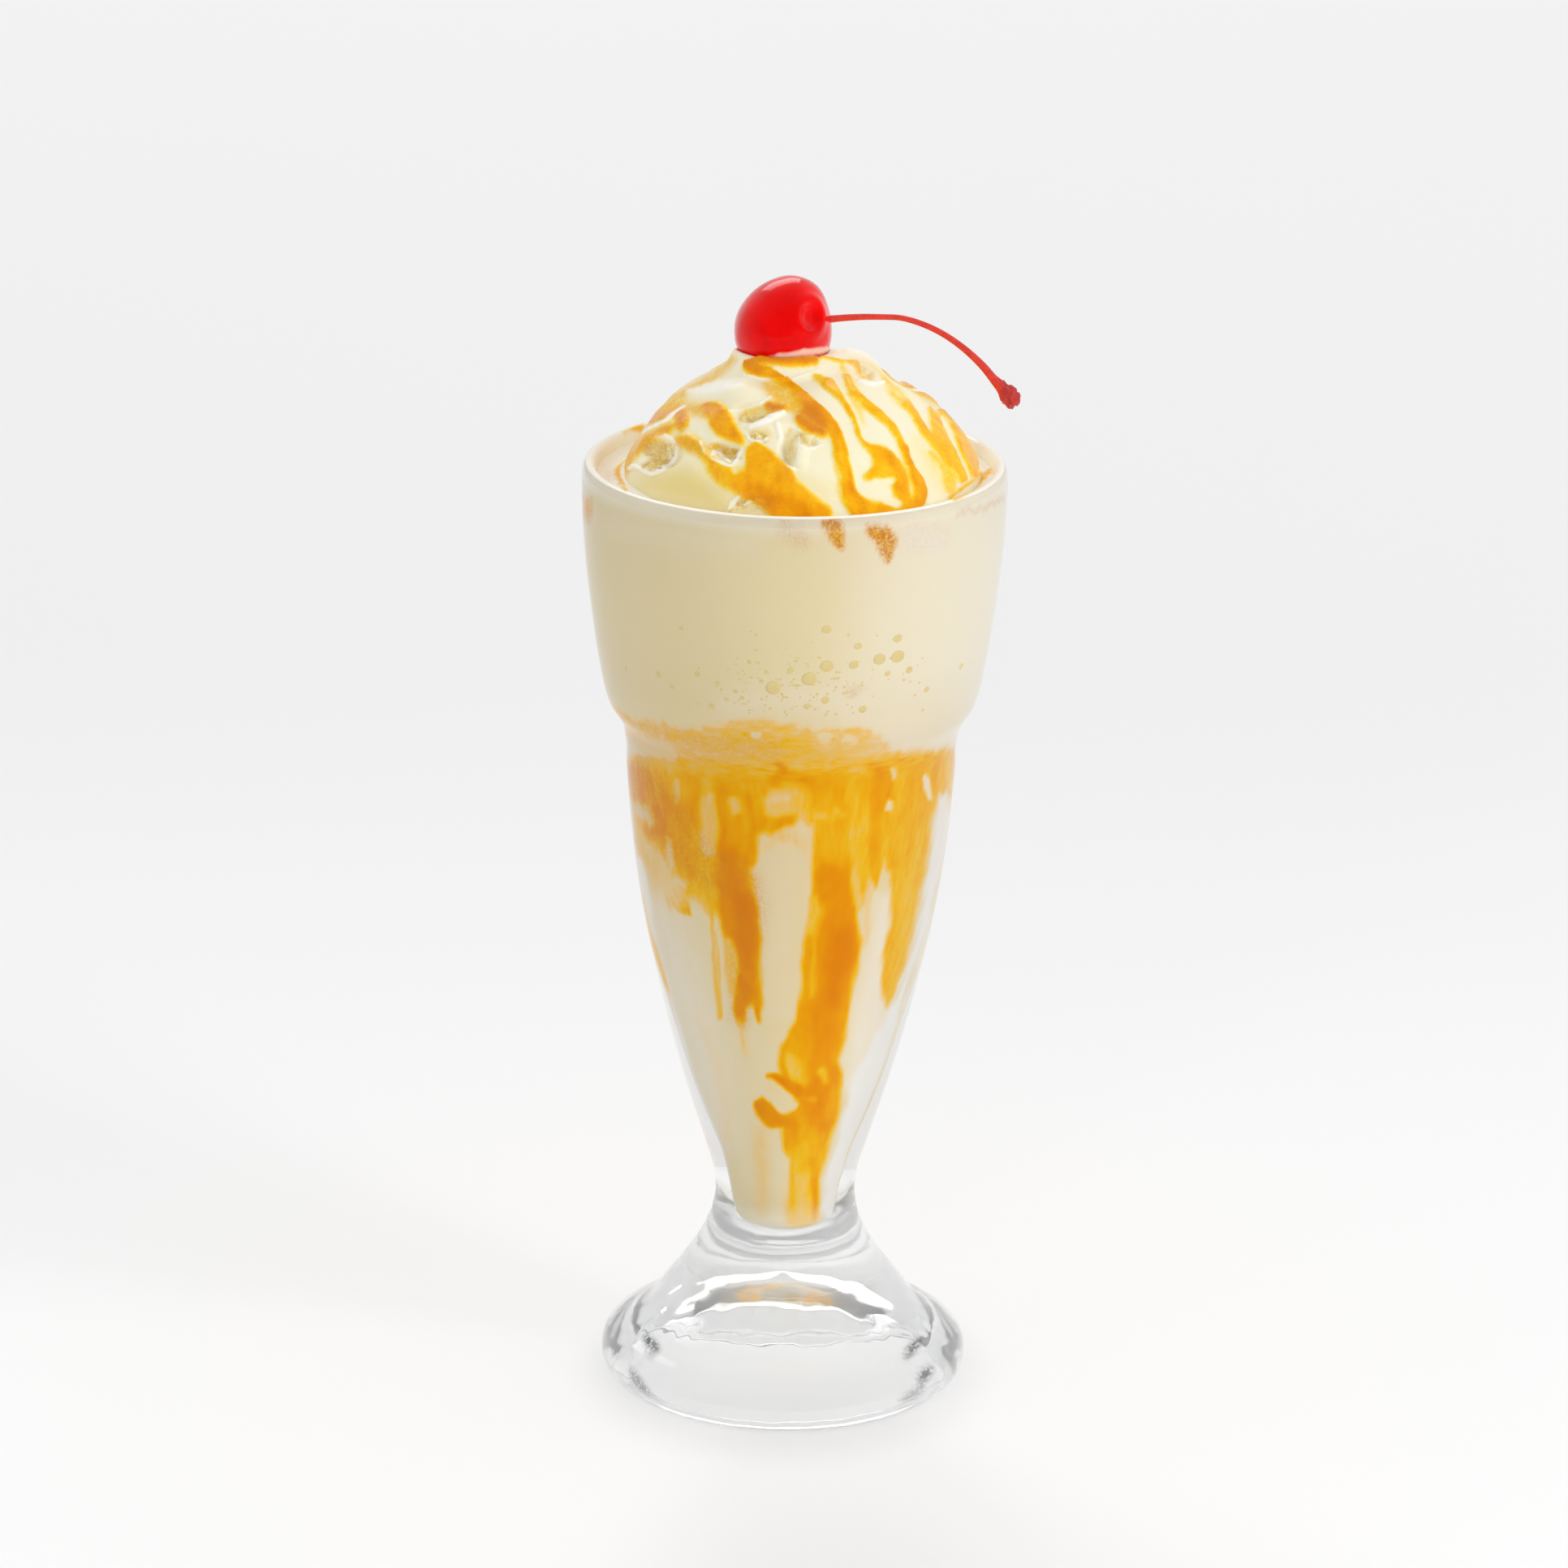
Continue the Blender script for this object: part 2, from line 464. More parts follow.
# Where the cream of the drink is whiter
WALL_WHITE = {
    "right of the middle": (0.45, 60, [
        (1150, 670, 100), (1150, 760, 100), (1140, 850, 100), (1130, 890, 90)]),
    "under the rim": (0.30, 25, [(760, 648, 10), (850, 662, 12), (920, 668, 8)]),
    "right side": (0.88, 130, [(1240, 660, 85), (1240, 760, 85), (1225, 850, 85), (1200, 910, 70)]),
    "above the shoulder": (0.55, 34, [(900, 868, 6), (980, 862, 12), (1080, 868, 20), (1150, 880, 22)]),
    "right strip": (0.8, 16, [(1090, 1110, 12), (1082, 1180, 18), (1070, 1250, 22), (1055, 1330, 16)]),
    "low left": (0.72, 30, [(815, 1110, 8), (840, 1200, 22), (870, 1300, 22), (890, 1400, 12)]),
    "right line": (1.0, 2, [
        (1143, 1118, 1.5), (1128, 1180, 2), (1108, 1240, 2), (1089, 1288, 2), (1066, 1345, 2)]),
    "finger": (0.12, 12, [(965, 1060, 20), (960, 1240, 16)]),
}

# Small dark patches that show in the foot
FOOT_DARK = {
    "left high": (1.0, 4, [(795, 1647, 4), (801, 1654, 8), (808, 1662, 6)]),
    "left high's foot": (0.7, 4, [(799, 1667, 5), (803, 1671, 4)]),
    "left low": (0.9, 4, [(777, 1687, 3), (783, 1698, 6), (790, 1708, 6), (798, 1715, 4)]),
    "right high": (1.0, 4, [(1133, 1652, 5), (1126, 1659, 7), (1119, 1669, 5), (1116, 1675, 2)]),
    "right low": (1.0, 4, [(1146, 1687, 5), (1140, 1694, 8), (1135, 1701, 5)]),
    "right low's foot": (0.8, 4, [(1135, 1709, 6), (1123, 1719, 5), (1111, 1726, 2)]),
}

# What lies on the drink between the scoop and the rim
MOAT_SAUCE = {
    "left line": (0.60, 2, [(779, 552, 2), (768, 566, 3), (761, 581, 3), (765, 594, 3), (772, 604, 2)]),
    "right streak": (0.62, 3, [(1219, 580, 3), (1206, 593, 4), (1191, 605, 4), (1176, 614, 3)]),
}
MOAT_RUST = {
    "left pink": (0.28, 6, [(782, 543, 5), (758, 564, 8), (750, 586, 6)]),
    "left line": (0.5, 3, [(779, 552, 2), (768, 566, 3), (761, 581, 3), (765, 594, 3)]),
    "right pink": (0.35, 4, [(1201, 558, 5), (1213, 567, 4)]),
}

# Bubbles against the glass
BUBBLES = [
    # pixel across, pixel down, half width in pixels
    (954, 848, 9), (997, 838, 9), (1019, 820, 8), (1051, 819, 6), (1083, 814, 8), (1105, 809, 9),
    (1106, 786, 6), (1019, 776, 6), (1058, 796, 5), (1119, 824, 5), (1093, 830, 4), (1016, 863, 5),
    (994, 871, 4), (975, 826, 4), (944, 828, 3), (938, 838, 3), (1184, 820, 4), (1142, 849, 4),
    (1063, 874, 5), (877, 871, 4), (896, 861, 3), (906, 851, 3), (915, 861, 3), (885, 842, 3),
    (923, 815, 3), (839, 775, 3), (811, 830, 4), (772, 823, 3), (860, 829, 4), (829, 846, 3),
]
TINY_BUBBLES = {"number": 170, "middle": (1000, 845), "spread": (70, 26), "lowest": 880, "half": (0.9, 2.2)}
BUBBLE_FLATNESS = 0.10
BUBBLE_LEAN = 7.4
BUBBLE_SIDES = 20
BUBBLE_RINGS = 10
BUBBLE_AZIMUTHS = 361

# Caramel on the scoop, as runs again
SCOOP_SAUCE = {
    "right wash": (0.18, 12, [(1130, 545, 8), (1148, 570, 12), (1160, 592, 10)]),
    "left edge": (0.30, 5, [
        (902, 443, 5), (890, 454, 6), (876, 465, 6), (858, 475, 6), (840, 486, 6), (822, 496, 6),
        (808, 508, 6), (798, 522, 5)]),
    "left shoulder": (0.70, 5, [(801, 523, 4), (810, 515, 9), (824, 509, 9), (838, 505, 6)]),
    "peach field": (0.44, 8, [(818, 505, 4), (832, 500, 7), (850, 503, 8), (870, 506, 9), (885, 506, 9)]),
    "brown drop": (0.70, 5, [(840, 510, 7), (841, 520, 9), (839, 529, 4)]),
    "shoulder's ridge": (0.03, 2, [
        (790, 535, 2), (805, 526, 2), (820, 520, 2.5), (834, 509, 2), (845, 501, 2)]),
    "left drip": (0.54, 6, [
        (766, 600, 3), (769, 586, 3), (773, 572, 5), (781, 557, 8), (792, 546, 9), (806, 538, 8),
        (820, 531, 8), (834, 524, 5)]),
    "left blot": (0.50, 4, LEFT_BLOT),
    "hanging drop": (0.72, 5, [
        (872, 503, 6), (880, 507, 11), (888, 518, 15), (895, 528, 13), (903, 535, 9), (911, 541, 6),
        (915, 546, 3)]),
    "peach patch": (0.50, 7, [(836, 541, 6), (848, 545, 11), (860, 552, 9), (870, 562, 7)]),
    "left pit's floor": (0.36, 6, [(802, 552, 7), (816, 558, 9), (808, 568, 6)]),
    "middle pit's floor": (0.46, 4, [(878, 551, 4), (888, 554, 6), (896, 558, 5)]),
    "long hollow's floor": (0.36, 5, [(922, 510, 6), (944, 506, 6)]),
    "pit's rim": (0.36, 3, [(866, 556, 2.5), (874, 566, 3), (886, 572, 2)]),
    "left arm": (0.64, 9, [(872, 566, 4), (882, 580, 10), (893, 587, 14), (908, 592, 16), (922, 598, 17)]),
    "upper arm": (0.62, 5, [(932, 559, 14), (938, 572, 20), (944, 584, 26), (950, 594, 30)]),
    "broad run": (0.68, 6, [
        (925, 600, 15), (944, 604, 23), (965, 613, 27), (985, 625, 24), (1008, 636, 18)]),
    "broad run's heart": (0.84, 12, [(925, 600, 4), (950, 612, 8), (975, 622, 9), (995, 632, 8)]),
    "arm's notch": (0.15, 4, [(903, 572, 3), (906, 580, 4)]),
    "ring": (0.84, 3, [(921, 450, 5), (935, 446, 5), (960, 446, 5), (985, 447, 6), (1004, 446, 5)]),
    "first run's head": (0.84, 4, [(922, 454, 7), (935, 458, 8), (950, 462, 7)]),
    "first run": (0.76, 4, [
        (950, 462, 7), (965, 472, 8), (980, 486, 11), (995, 500, 13), (1008, 511, 13), (1020, 522, 11),
        (1030, 534, 10), (1035, 550, 9), (1036, 565, 9), (1040, 580, 9), (1044, 595, 9), (1046, 608, 10),
        (1054, 622, 12), (1066, 634, 14)]),
    "first run's light part": (0.64, 6, [(1033, 545, 5), (1036, 565, 6), (1041, 590, 6)]),
    "first run's heart": (0.94, 7, [(985, 500, 7), (1000, 511, 9), (1012, 520, 7)]),
    "first run's film": (0.38, 6, [(945, 476, 6), (957, 484, 10), (968, 494, 11), (980, 503, 8)]),
    "dark spot": (0.85, 5, DARK_SPOT),
    "torn edge": (0.88, 4, [(984, 517, 5), (994, 525, 7), (1004, 530, 6), (1014, 536, 4)]),
    "streaky edge": (0.34, 3, [(1029, 572, 3), (1034, 588, 3), (1033, 604, 3), (1038, 618, 3)]),
    "cream wedge": (0.0, 3, [
        (955, 455, 2), (972, 461, 5), (990, 471, 7), (1010, 488, 8), (1028, 505, 7), (1040, 525, 6),
        (1048, 545, 6), (1056, 560, 7), (1061, 575, 7)]),
    "second run's head": (0.50, 4, [(1004, 465, 4), (1012, 468, 6), (1021, 474, 7)]),
    "second run": (0.60, 3, [
        (1021, 474, 7), (1030, 484, 6), (1038, 494, 4), (1046, 506, 3.5), (1052, 518, 3), (1056, 530, 3),
        (1060, 541, 3), (1066, 549, 4)]),
    "pool": (0.61, 5, [
        (1072, 552, 5), (1084, 560, 11), (1090, 570, 15), (1098, 582, 16), (1107, 593, 12), (1111, 606, 11),
        (1114, 620, 10)]),
    "pool's left": (0.52, 4, [(1085, 575, 8), (1072, 586, 6), (1062, 591, 5)]),
    "pool's heart": (0.69, 7, [(1095, 565, 6), (1105, 580, 6), (1110, 600, 5)]),
    "pool's foot": (0.66, 6, [
        (1050, 618, 9), (1068, 626, 11), (1090, 628, 10), (1112, 624, 9), (1128, 620, 6)]),
    "island one": (0.03, 3, [
        (1098, 593, 4), (1086, 597, 6), (1074, 602, 6), (1064, 602, 6), (1058, 592, 5), (1059, 580, 4)]),
    "island two": (0.04, 2, [(1093, 617, 5), (1104, 620, 6)]),
    "third run's head": (0.40, 5, [
        (1038, 450, 4), (1041, 460, 5), (1046, 472, 7), (1051, 484, 8), (1058, 494, 8)]),
    "third run": (0.56, 3, [
        (1044, 466, 3), (1050, 480, 4), (1060, 492, 5), (1072, 502, 6), (1084, 512, 6), (1094, 521, 5),
        (1102, 531, 5), (1108, 542, 5), (1113, 554, 5)]),
    "third run's end": (0.74, 3, [
        (1113, 554, 5), (1117, 566, 5), (1123, 580, 6), (1129, 592, 8), (1133, 605, 9), (1132, 616, 8)]),
    "third run's line": (0.30, 1.5, [(1116, 575, 1.5), (1120, 590, 1.5), (1122, 606, 1.5)]),
    "third run's branch": (0.28, 5, [(1058, 500, 5), (1061, 512, 4), (1064, 522, 2)]),
    "fourth run's head": (0.38, 5, [
        (1082, 458, 2), (1092, 470, 5), (1102, 482, 8), (1110, 492, 8), (1118, 500, 6)]),
    "fourth run": (0.58, 3, [
        (1116, 498, 5), (1125, 509, 5), (1131, 520, 5.5), (1138, 531, 5.5), (1146, 541, 5.5),
        (1154, 551, 5.5), (1162, 561, 5.5), (1169, 571, 5.5), (1176, 581, 5.5), (1184, 590, 5)]),
    "fifth run": (0.56, 2, [
        (1144, 503, 2), (1150, 515, 6), (1154, 528, 8), (1159, 540, 8.5), (1165, 551, 8.5),
        (1171, 561, 8.5), (1178, 573, 7.5), (1185, 584, 5), (1189, 590, 3)]),
    "sixth run": (0.62, 2, [
        (1156, 507, 3), (1167, 515, 7), (1175, 526, 8.5), (1181, 537, 9), (1186, 548, 9.5),
        (1191, 560, 9.5), (1196, 572, 8.5), (1199, 583, 5)]),
    "split": (0.05, 2, [
        (1160, 515, 2), (1166, 524, 3.5), (1171, 536, 3), (1177, 550, 2), (1184, 566, 1.5),
        (1192, 582, 1.5)]),
    "fourth run's branch": (0.40, 4, [
        (1147, 558, 3), (1156, 568, 4.5), (1164, 579, 6), (1169, 590, 9), (1170, 600, 8)]),
    "right edge": (0.24, 4, [
        (1048, 443, 3), (1070, 449, 3), (1095, 461, 3.5), (1120, 477, 3.5), (1150, 500, 3)]),
    "thread": (0.60, 2, [(1012, 441, 2), (1022, 443, 2), (1035, 446, 2), (1050, 447, 2)]),
    "hollow's sauce": (0.50, 3, [(1055, 449, 4), (1058, 458, 4)]),
    "hollow's floor": (0.30, 3, [(1063, 466, 4), (1072, 467, 4)]),
    "foot's line": (0.50, 2, [(1208, 582, 1.5), (1198, 592, 2), (1184, 602, 2), (1170, 613, 2)]),
}

# Where its caramel is browner
SCOOP_RUST = {
    "left pit": (0.45, 6, [(802, 552, 8), (816, 558, 10), (808, 568, 7)]),
    "middle pit": (0.30, 5, [(878, 551, 5), (892, 556, 7)]),
    "left edge": (0.32, 7, [(902, 443, 6), (880, 462, 8), (850, 480, 7), (815, 500, 7), (800, 518, 6)]),
    "left shoulder": (0.50, 4, [(806, 518, 4), (815, 513, 7), (828, 509, 5)]),
    "brown drop": (0.50, 4, [(842, 512, 7), (840, 520, 8), (840, 528, 4)]),
    "left drip": (0.34, 4, [(767, 596, 3), (773, 572, 5), (789, 546, 8), (816, 531, 5), (832, 524, 4)]),
    "left blot": (0.50, 4, LEFT_BLOT),
    "peach field": (0.34, 9, [(812, 504, 5), (830, 501, 7), (850, 505, 9), (880, 506, 8)]),
    "peach patch": (0.38, 7, [(838, 544, 8), (850, 548, 9), (862, 556, 6)]),
    "film": (0.26, 8, [(940, 472, 6), (955, 484, 10), (970, 496, 11), (985, 505, 8)]),
    "dark spot": (0.42, 5, DARK_SPOT),
    "torn edge": (0.42, 6, [(984, 510, 6), (1000, 522, 9), (1014, 532, 6)]),
    "ring": (0.24, 5, [(921, 450, 5), (960, 446, 5), (1004, 446, 5)]),
    "hollow": (0.20, 4, [(1055, 449, 4), (1060, 458, 4)]),
    "right foot": (0.14, 8, [(1170, 612, 5), (1200, 592, 6), (1215, 575, 5)]),
}

# Where the scoop is torn and icy
SCOOP_TORN = {
    "left pit": (1.0, 4, [(800, 556, 7), (812, 556, 12), (824, 558, 11), (812, 572, 10), (798, 576, 7)]),
    "middle pit": (1.0, 3, [(876, 551, 4), (888, 555, 7), (900, 560, 8), (908, 560, 6)]),
    "long hollow": (0.9, 4, [(915, 517, 5), (930, 513, 6), (946, 509, 6)]),
    "small pit": (1.0, 3, [(929, 537, 5), (942, 541, 5)]),
    "slit": (0.4, 3, [(974, 532, 5), (974, 552, 8), (972, 572, 6)]),
    "flake": (0.8, 4, [(985, 538, 6), (1000, 543, 8)]),
    "lip flake": (0.8, 4, [(903, 628, 6), (922, 617, 8), (940, 625, 7)]),
    "right hollow": (0.6, 3, [(1065, 457, 6), (1071, 460, 6)]),
}

# Where its cream is yellower, in shade
SCOOP_SHADE = {
    "left pit": (1.0, 5, [(804, 558, 5), (818, 562, 8), (812, 573, 6)]),
    "middle pit": (0.9, 4, [(880, 551, 3), (895, 555, 4)]),
    "small pit": (0.9, 5, [(929, 534, 5), (944, 535, 6)]),
    "low left": (1.0, 24, [(800, 598, 12), (842, 598, 26), (890, 622, 14), (930, 640, 8)]),
    "low middle": (0.5, 18, [(985, 590, 8), (1015, 605, 12)]),
    "right": (0.25, 24, [(1140, 545, 8), (1155, 580, 14)]),
    "hollow's left": (1.0, 8, [(918, 508, 4), (932, 508, 7), (948, 504, 6)]),
    "slit": (0.4, 10, [(972, 540, 6), (972, 570, 6)]),
}

# Ridges and folds finer than the solid has: height in millimetres, softness, line
SCOOP_RIDGES = {
    "left pit's lip": (0.9, 2, [
        (776, 578, 1.5), (784, 574, 2.5), (792, 580, 2), (802, 584, 2.5), (814, 580, 2), (824, 574, 2),
        (833, 566, 1.5), (835, 552, 1.5)]),
    "left pit's top": (0.7, 3, [(808, 540, 2), (822, 538, 3), (832, 545, 2)]),
    "shoulder's ridge": (0.7, 3, [
        (790, 535, 1), (805, 526, 1.5), (820, 520, 2), (834, 509, 2), (845, 501, 1)]),
    "middle pit's tongue": (1.0, 2, [(878, 561, 1), (886, 554, 2), (890, 563, 1.5), (899, 568, 1)]),
    "middle pit's rim": (0.8, 2, [
        (864, 545, 1), (868, 556, 1.5), (878, 566, 1.5), (890, 571, 2), (901, 574, 1.5), (908, 566, 1.5),
        (914, 553, 1)]),
    "torn tongue": (1.0, 2, [(925, 527, 2), (940, 521, 3), (955, 514, 3), (966, 510, 2)]),
    "small pit's rim": (0.8, 2, [(921, 536, 1), (925, 542, 1.5), (936, 545, 1.5), (946, 540, 1)]),
    "tongue's fold": (0.8, 2, [(958, 522, 2), (962, 535, 2.5), (963, 550, 1.5)]),
    "slit's left": (0.8, 2, [(961, 550, 1), (964, 566, 1.5), (970, 576, 2), (980, 579, 1.5)]),
    "slit's right": (0.6, 2, [(984, 530, 1), (985, 550, 1.5), (982, 572, 1)]),
    "swell": (0.5, 7, [(850, 484, 5), (885, 478, 8), (915, 472, 5)]),
    "right ledge": (0.6, 2, [(984, 548, 1), (998, 554, 1.5), (1012, 548, 1)]),
    "hollow's lip": (0.9, 3, [(1058, 470, 1.5), (1072, 474, 2.5), (1088, 472, 1.5)]),
    "fold's edge": (0.6, 3, [(892, 509, 1.5), (912, 506, 2), (935, 499, 2), (950, 490, 1.5)]),
    "lip flake one": (0.8, 2, [(896, 630, 1), (905, 617, 2.5), (915, 610, 1)]),
    "lip flake two": (0.7, 2, [(918, 622, 1.5), (930, 616, 2), (944, 622, 1.5), (948, 632, 1)]),
    "cherry's shore": (0.6, 2, [
        (916, 462, 1), (935, 468, 1.5), (965, 470, 1), (990, 464, 1.5), (1010, 456, 1)]),
}


def smoothstep(low, high, value):
    share = np.clip((value - low) / (high - low), 0.0, 1.0)
    return share * share * (3 - 2 * share)


def smooth_line(points, spacing):
    """Points about spacing apart on a smooth curve through the given ones."""
    points = np.array(points, float)
    lengths = np.linalg.norm(np.diff(points, axis=0), axis=1)
    knots = np.concatenate([[0.0], np.cumsum(lengths)])
    slopes = np.diff(points, axis=0) / lengths[:, None]
    inner = slopes[:-1] * lengths[1:, None] + slopes[1:] * lengths[:-1, None]
    inner = inner / (lengths[:-1] + lengths[1:])[:, None]
    tangents = np.vstack([slopes[:1], inner, slopes[-1:]])
    places = np.linspace(0.0, knots[-1], max(2, int(round(knots[-1] / spacing)) + 1))
    at = np.clip(np.searchsorted(knots, places, side="right") - 1, 0, len(lengths) - 1)
    step = lengths[at][:, None]
    t = (places - knots[at])[:, None] / step
    ends = points[at] * (1 + 2 * t) * (1 - t) ** 2 + points[at + 1] * t * t * (3 - 2 * t)
    return ends + step * (tangents[at] * t * (1 - t) ** 2 + tangents[at + 1] * t * t * (t - 1))


def oval_arc(centre, across, up, first, last, steps):
    """Points on an oval round centre, from the angle first to last in degrees."""
    angles = np.radians(np.linspace(first, last, steps + 1))
    return np.column_stack([centre[0] + across * np.cos(angles), centre[1] + up * np.sin(angles)])


def ripple(points, span, seed=0.0):
    """Smooth noise from -1 to 1 at points, with features about span in size."""
    shift = Vector((seed * 17.3, seed * 9.1, seed * 5.7))
    scaled = points / np.array(span)
    return np.array([noise.noise(Vector(p) + shift) for p in scaled])


# Camera


def camera_matrix():
    turn = Matrix.Rotation(math.pi / 2 - CAMERA_DOWN, 4, "X") @ Matrix.Rotation(CAMERA_ROLL, 4, "Z")
    turn.translation = Vector(CAMERA_AT) * MM
    return turn


def make_camera():
    camera = bpy.data.cameras.new("camera")
    camera.sensor_width = SENSOR_WIDTH
    camera.lens = SENSOR_WIDTH * LENS_PIXELS / PHOTO_SIDE
    obj = bpy.data.objects.new("camera", camera)
    obj.matrix_world = camera_matrix()
    bpy.context.scene.collection.objects.link(obj)
    bpy.context.scene.camera = obj


def photo_place(points):
    """The pixels at which points, in millimetres, show."""
    turn = np.array(camera_matrix())[:3, :3]
    seen = (points - np.array(CAMERA_AT)) @ turn
    middle = PHOTO_SIDE / 2
    across = middle - LENS_PIXELS * seen[:, 0] / seen[:, 2]
    down = middle + LENS_PIXELS * seen[:, 1] / seen[:, 2]
    return np.column_stack([across, down])


def turned_round(points):
    """The points half a turn round the glass's axis."""
    return points * np.array((-1.0, -1.0, 1.0))


def frayed(points, reach, span, seed):
    """How far, in pixels across and down, noise moves the edge of a run at each point."""
    return reach * np.column_stack([ripple(points, span, seed), ripple(points, span, seed + 1)])


def paint(places, runs):
    """The strength at each place of runs laid one over another."""
    strength = np.zeros(len(places))
    for amount, soft, line in runs.values():
        line = smooth_line(line, RUN_SPACING)
        margin = soft + line[:, 2].max()
        low, high = line[:, :2].min(axis=0) - margin, line[:, :2].max(axis=0) + margin
        near = np.flatnonzero(np.all((places > low) & (places < high), axis=1))
        edge = np.full(len(near), np.inf)
        for start, end in zip(line[:-1], line[1:]):
            step = end - start
            offset = places[near] - start[:2]
            share = np.clip(offset @ step[:2] / (step[:2] @ step[:2]), 0.0, 1.0)
            distance = np.linalg.norm(offset - share[:, None] * step[:2], axis=1)
            edge = np.minimum(edge, distance - start[2] - share * step[2])
        strength[near] += (amount - strength[near]) * smoothstep(soft, -soft, edge)
    return strength


# Shapes shared by the pieces


def piece_of(name, mesh):
    obj = bpy.data.objects.new(name, mesh)
    bpy.context.scene.collection.objects.link(obj)
    mesh.shade_smooth()
    return obj


def closed_rings(name, rings, first, last):
    """A closed mesh from rings of points in millimetres, with a point that closes each end."""
    count, sides = rings.shape[:2]
    points = np.vstack([rings.reshape(-1, 3), [first], [last]]) * MM
    faces = []
    for ring in range(count - 1):
        low, high = ring * sides, (ring + 1) * sides
        faces += [
            (low + i, low + (i + 1) % sides, high + (i + 1) % sides, high + i) for i in range(sides)
        ]
    top, end = count * sides, (count - 1) * sides
    faces += [(top, (i + 1) % sides, i) for i in range(sides)]
    faces += [(top + 1, end + i, end + (i + 1) % sides) for i in range(sides)]
    mesh = bpy.data.meshes.new(name)
    mesh.from_pydata(points.tolist(), [], faces)
    shape = bmesh.new()
    shape.from_mesh(mesh)
    bmesh.ops.recalc_face_normals(shape, faces=shape.faces)
    shape.to_mesh(mesh)
    shape.free()
    return mesh


def turned(profile, sides):
    """Rings of points from a profile of (radius, height)."""
    angles = np.linspace(0.0, 2 * math.pi, sides, endpoint=False)
    radii, heights = profile[:, :1], profile[:, 1:]
    return np.stack(
        [radii * np.cos(angles), radii * np.sin(angles), heights + 0.0 * angles], axis=2
    )


def carry(mesh, **values):
    """Stores a number at each point for the finish to read."""
    for name, numbers in values.items():
        layer = mesh.attributes.new(name, "FLOAT", "POINT")
        layer.data.foreach_set("value", np.asarray(numbers, np.float32))


# Finishes


class Value:
    """A number that changes over a surface. Sums and products of it add Math nodes."""

    def __init__(self, finish, socket):
        self.finish = finish
        self.socket = socket

    def math(self, operation, first, second):
        node = self.finish.node("ShaderNodeMath", {"operation": operation}, {0: first, 1: second})
        return Value(self.finish, node.outputs[0])

    def __add__(self, other):
        return self.math("ADD", self, other)

    def __radd__(self, other):
        return self.math("ADD", other, self)

    def __sub__(self, other):
        return self.math("SUBTRACT", self, other)

    def __rsub__(self, other):
        return self.math("SUBTRACT", other, self)

    def __mul__(self, other):
        return self.math("MULTIPLY", self, other)

    def __rmul__(self, other):
        return self.math("MULTIPLY", other, self)

    def over(self, low, high, start=0.0, end=1.0):
        """Goes smoothly from start to end as the number goes from low to high."""
        sockets = {0: self, 1: low, 2: high, 3: start, 4: end}
        settings = {"interpolation_type": "SMOOTHSTEP"}
        node = self.finish.node("ShaderNodeMapRange", settings, sockets)
        return Value(self.finish, node.outputs[0])


class Nodes:
    """A node tree, to which node() adds."""

    def __init__(self, tree):
        self.tree = tree

    def set(self, node, sockets):
        """Gives a node's sockets their links, numbers or colours of red, green and blue."""
        for key, value in sockets.items():
            socket = node.inputs[key]
            if isinstance(value, Value):
                value = value.socket
            if isinstance(value, bpy.types.NodeSocket):
                self.tree.links.new(value, socket)
            elif socket.type == "RGBA":
                socket.default_value = (*value, 1.0)
            else:
                socket.default_value = value

    def node(self, kind, settings=None, sockets=None, stops=None):
        """Adds a node: its settings first, then a ramp's stops, then values or links of sockets."""
        node = self.tree.nodes.new(kind)
        for key, value in (settings or {}).items():
            setattr(node, key, value)
        if stops:
            ramp = node.color_ramp
            while len(ramp.elements) < len(stops):
                ramp.elements.new(1.0)
            for element, (place, colour) in zip(ramp.elements, stops):
                element.position = place
                element.color = (*colour, 1.0)
        self.set(node, sockets or {})
        return node


class Finish(Nodes):
    """One material."""

    def __init__(self, name):
        self.material = bpy.data.materials.new(name)
        self.material.use_nodes = True
        super().__init__(self.material.node_tree)
        self.shader = self.tree.nodes["Principled BSDF"]

    def surface(self, **sockets):
        self.set(self.shader, {key.replace("_", " "): value for key, value in sockets.items()})

    def cloud_over(self, share, colour):
        """Lays a dull cloud of the colour over the surface."""
        cloud = self.node("ShaderNodeBsdfDiffuse", {}, {"Color": colour})
        sockets = {0: share, 1: self.shader.outputs[0], 2: cloud.outputs[0]}
        mixed = self.node("ShaderNodeMixShader", {}, sockets)
        self.set(self.tree.nodes["Material Output"], {"Surface": mixed.outputs[0]})

    def stored(self, name):
        return Value(self, self.node("ShaderNodeAttribute", {"attribute_name": name}).outputs["Fac"])

    def grain(self, size, stretch=1.0, detail=3.0, roughness=0.5):
        """Noise from 0 to 1 with features of size, in millimetres, stretched upwards."""
        place = self.node("ShaderNodeTexCoord").outputs["Object"]
        scale = 1.0 / (size * MM)
        sockets = {"Vector": place, "Scale": (scale, scale, scale / stretch)}
        mapped = self.node("ShaderNodeMapping", {}, sockets)
        sockets = {"Vector": mapped.outputs[0], "Scale": 1.0, "Detail": detail, "Roughness": roughness}
        return Value(self, self.node("ShaderNodeTexNoise", {}, sockets).outputs["Fac"])

    def blend(self, share, first, second):
        """Goes from the first colour to the second."""
        sockets = {0: share, 6: first, 7: second}
        return self.node("ShaderNodeMix", {"data_type": "RGBA"}, sockets).outputs[2]

    def ramp(self, value, stops):
        return self.node("ShaderNodeValToRGB", {}, {0: value}, stops).outputs["Color"]

    def bump(self, height, depth, strength):
        """A bump whose height of 1 is depth in millimetres."""
        sockets = {"Height": height, "Distance": depth * MM, "Strength": strength}
        return self.node("ShaderNodeBump", {}, sockets).outputs["Normal"]


# Glass


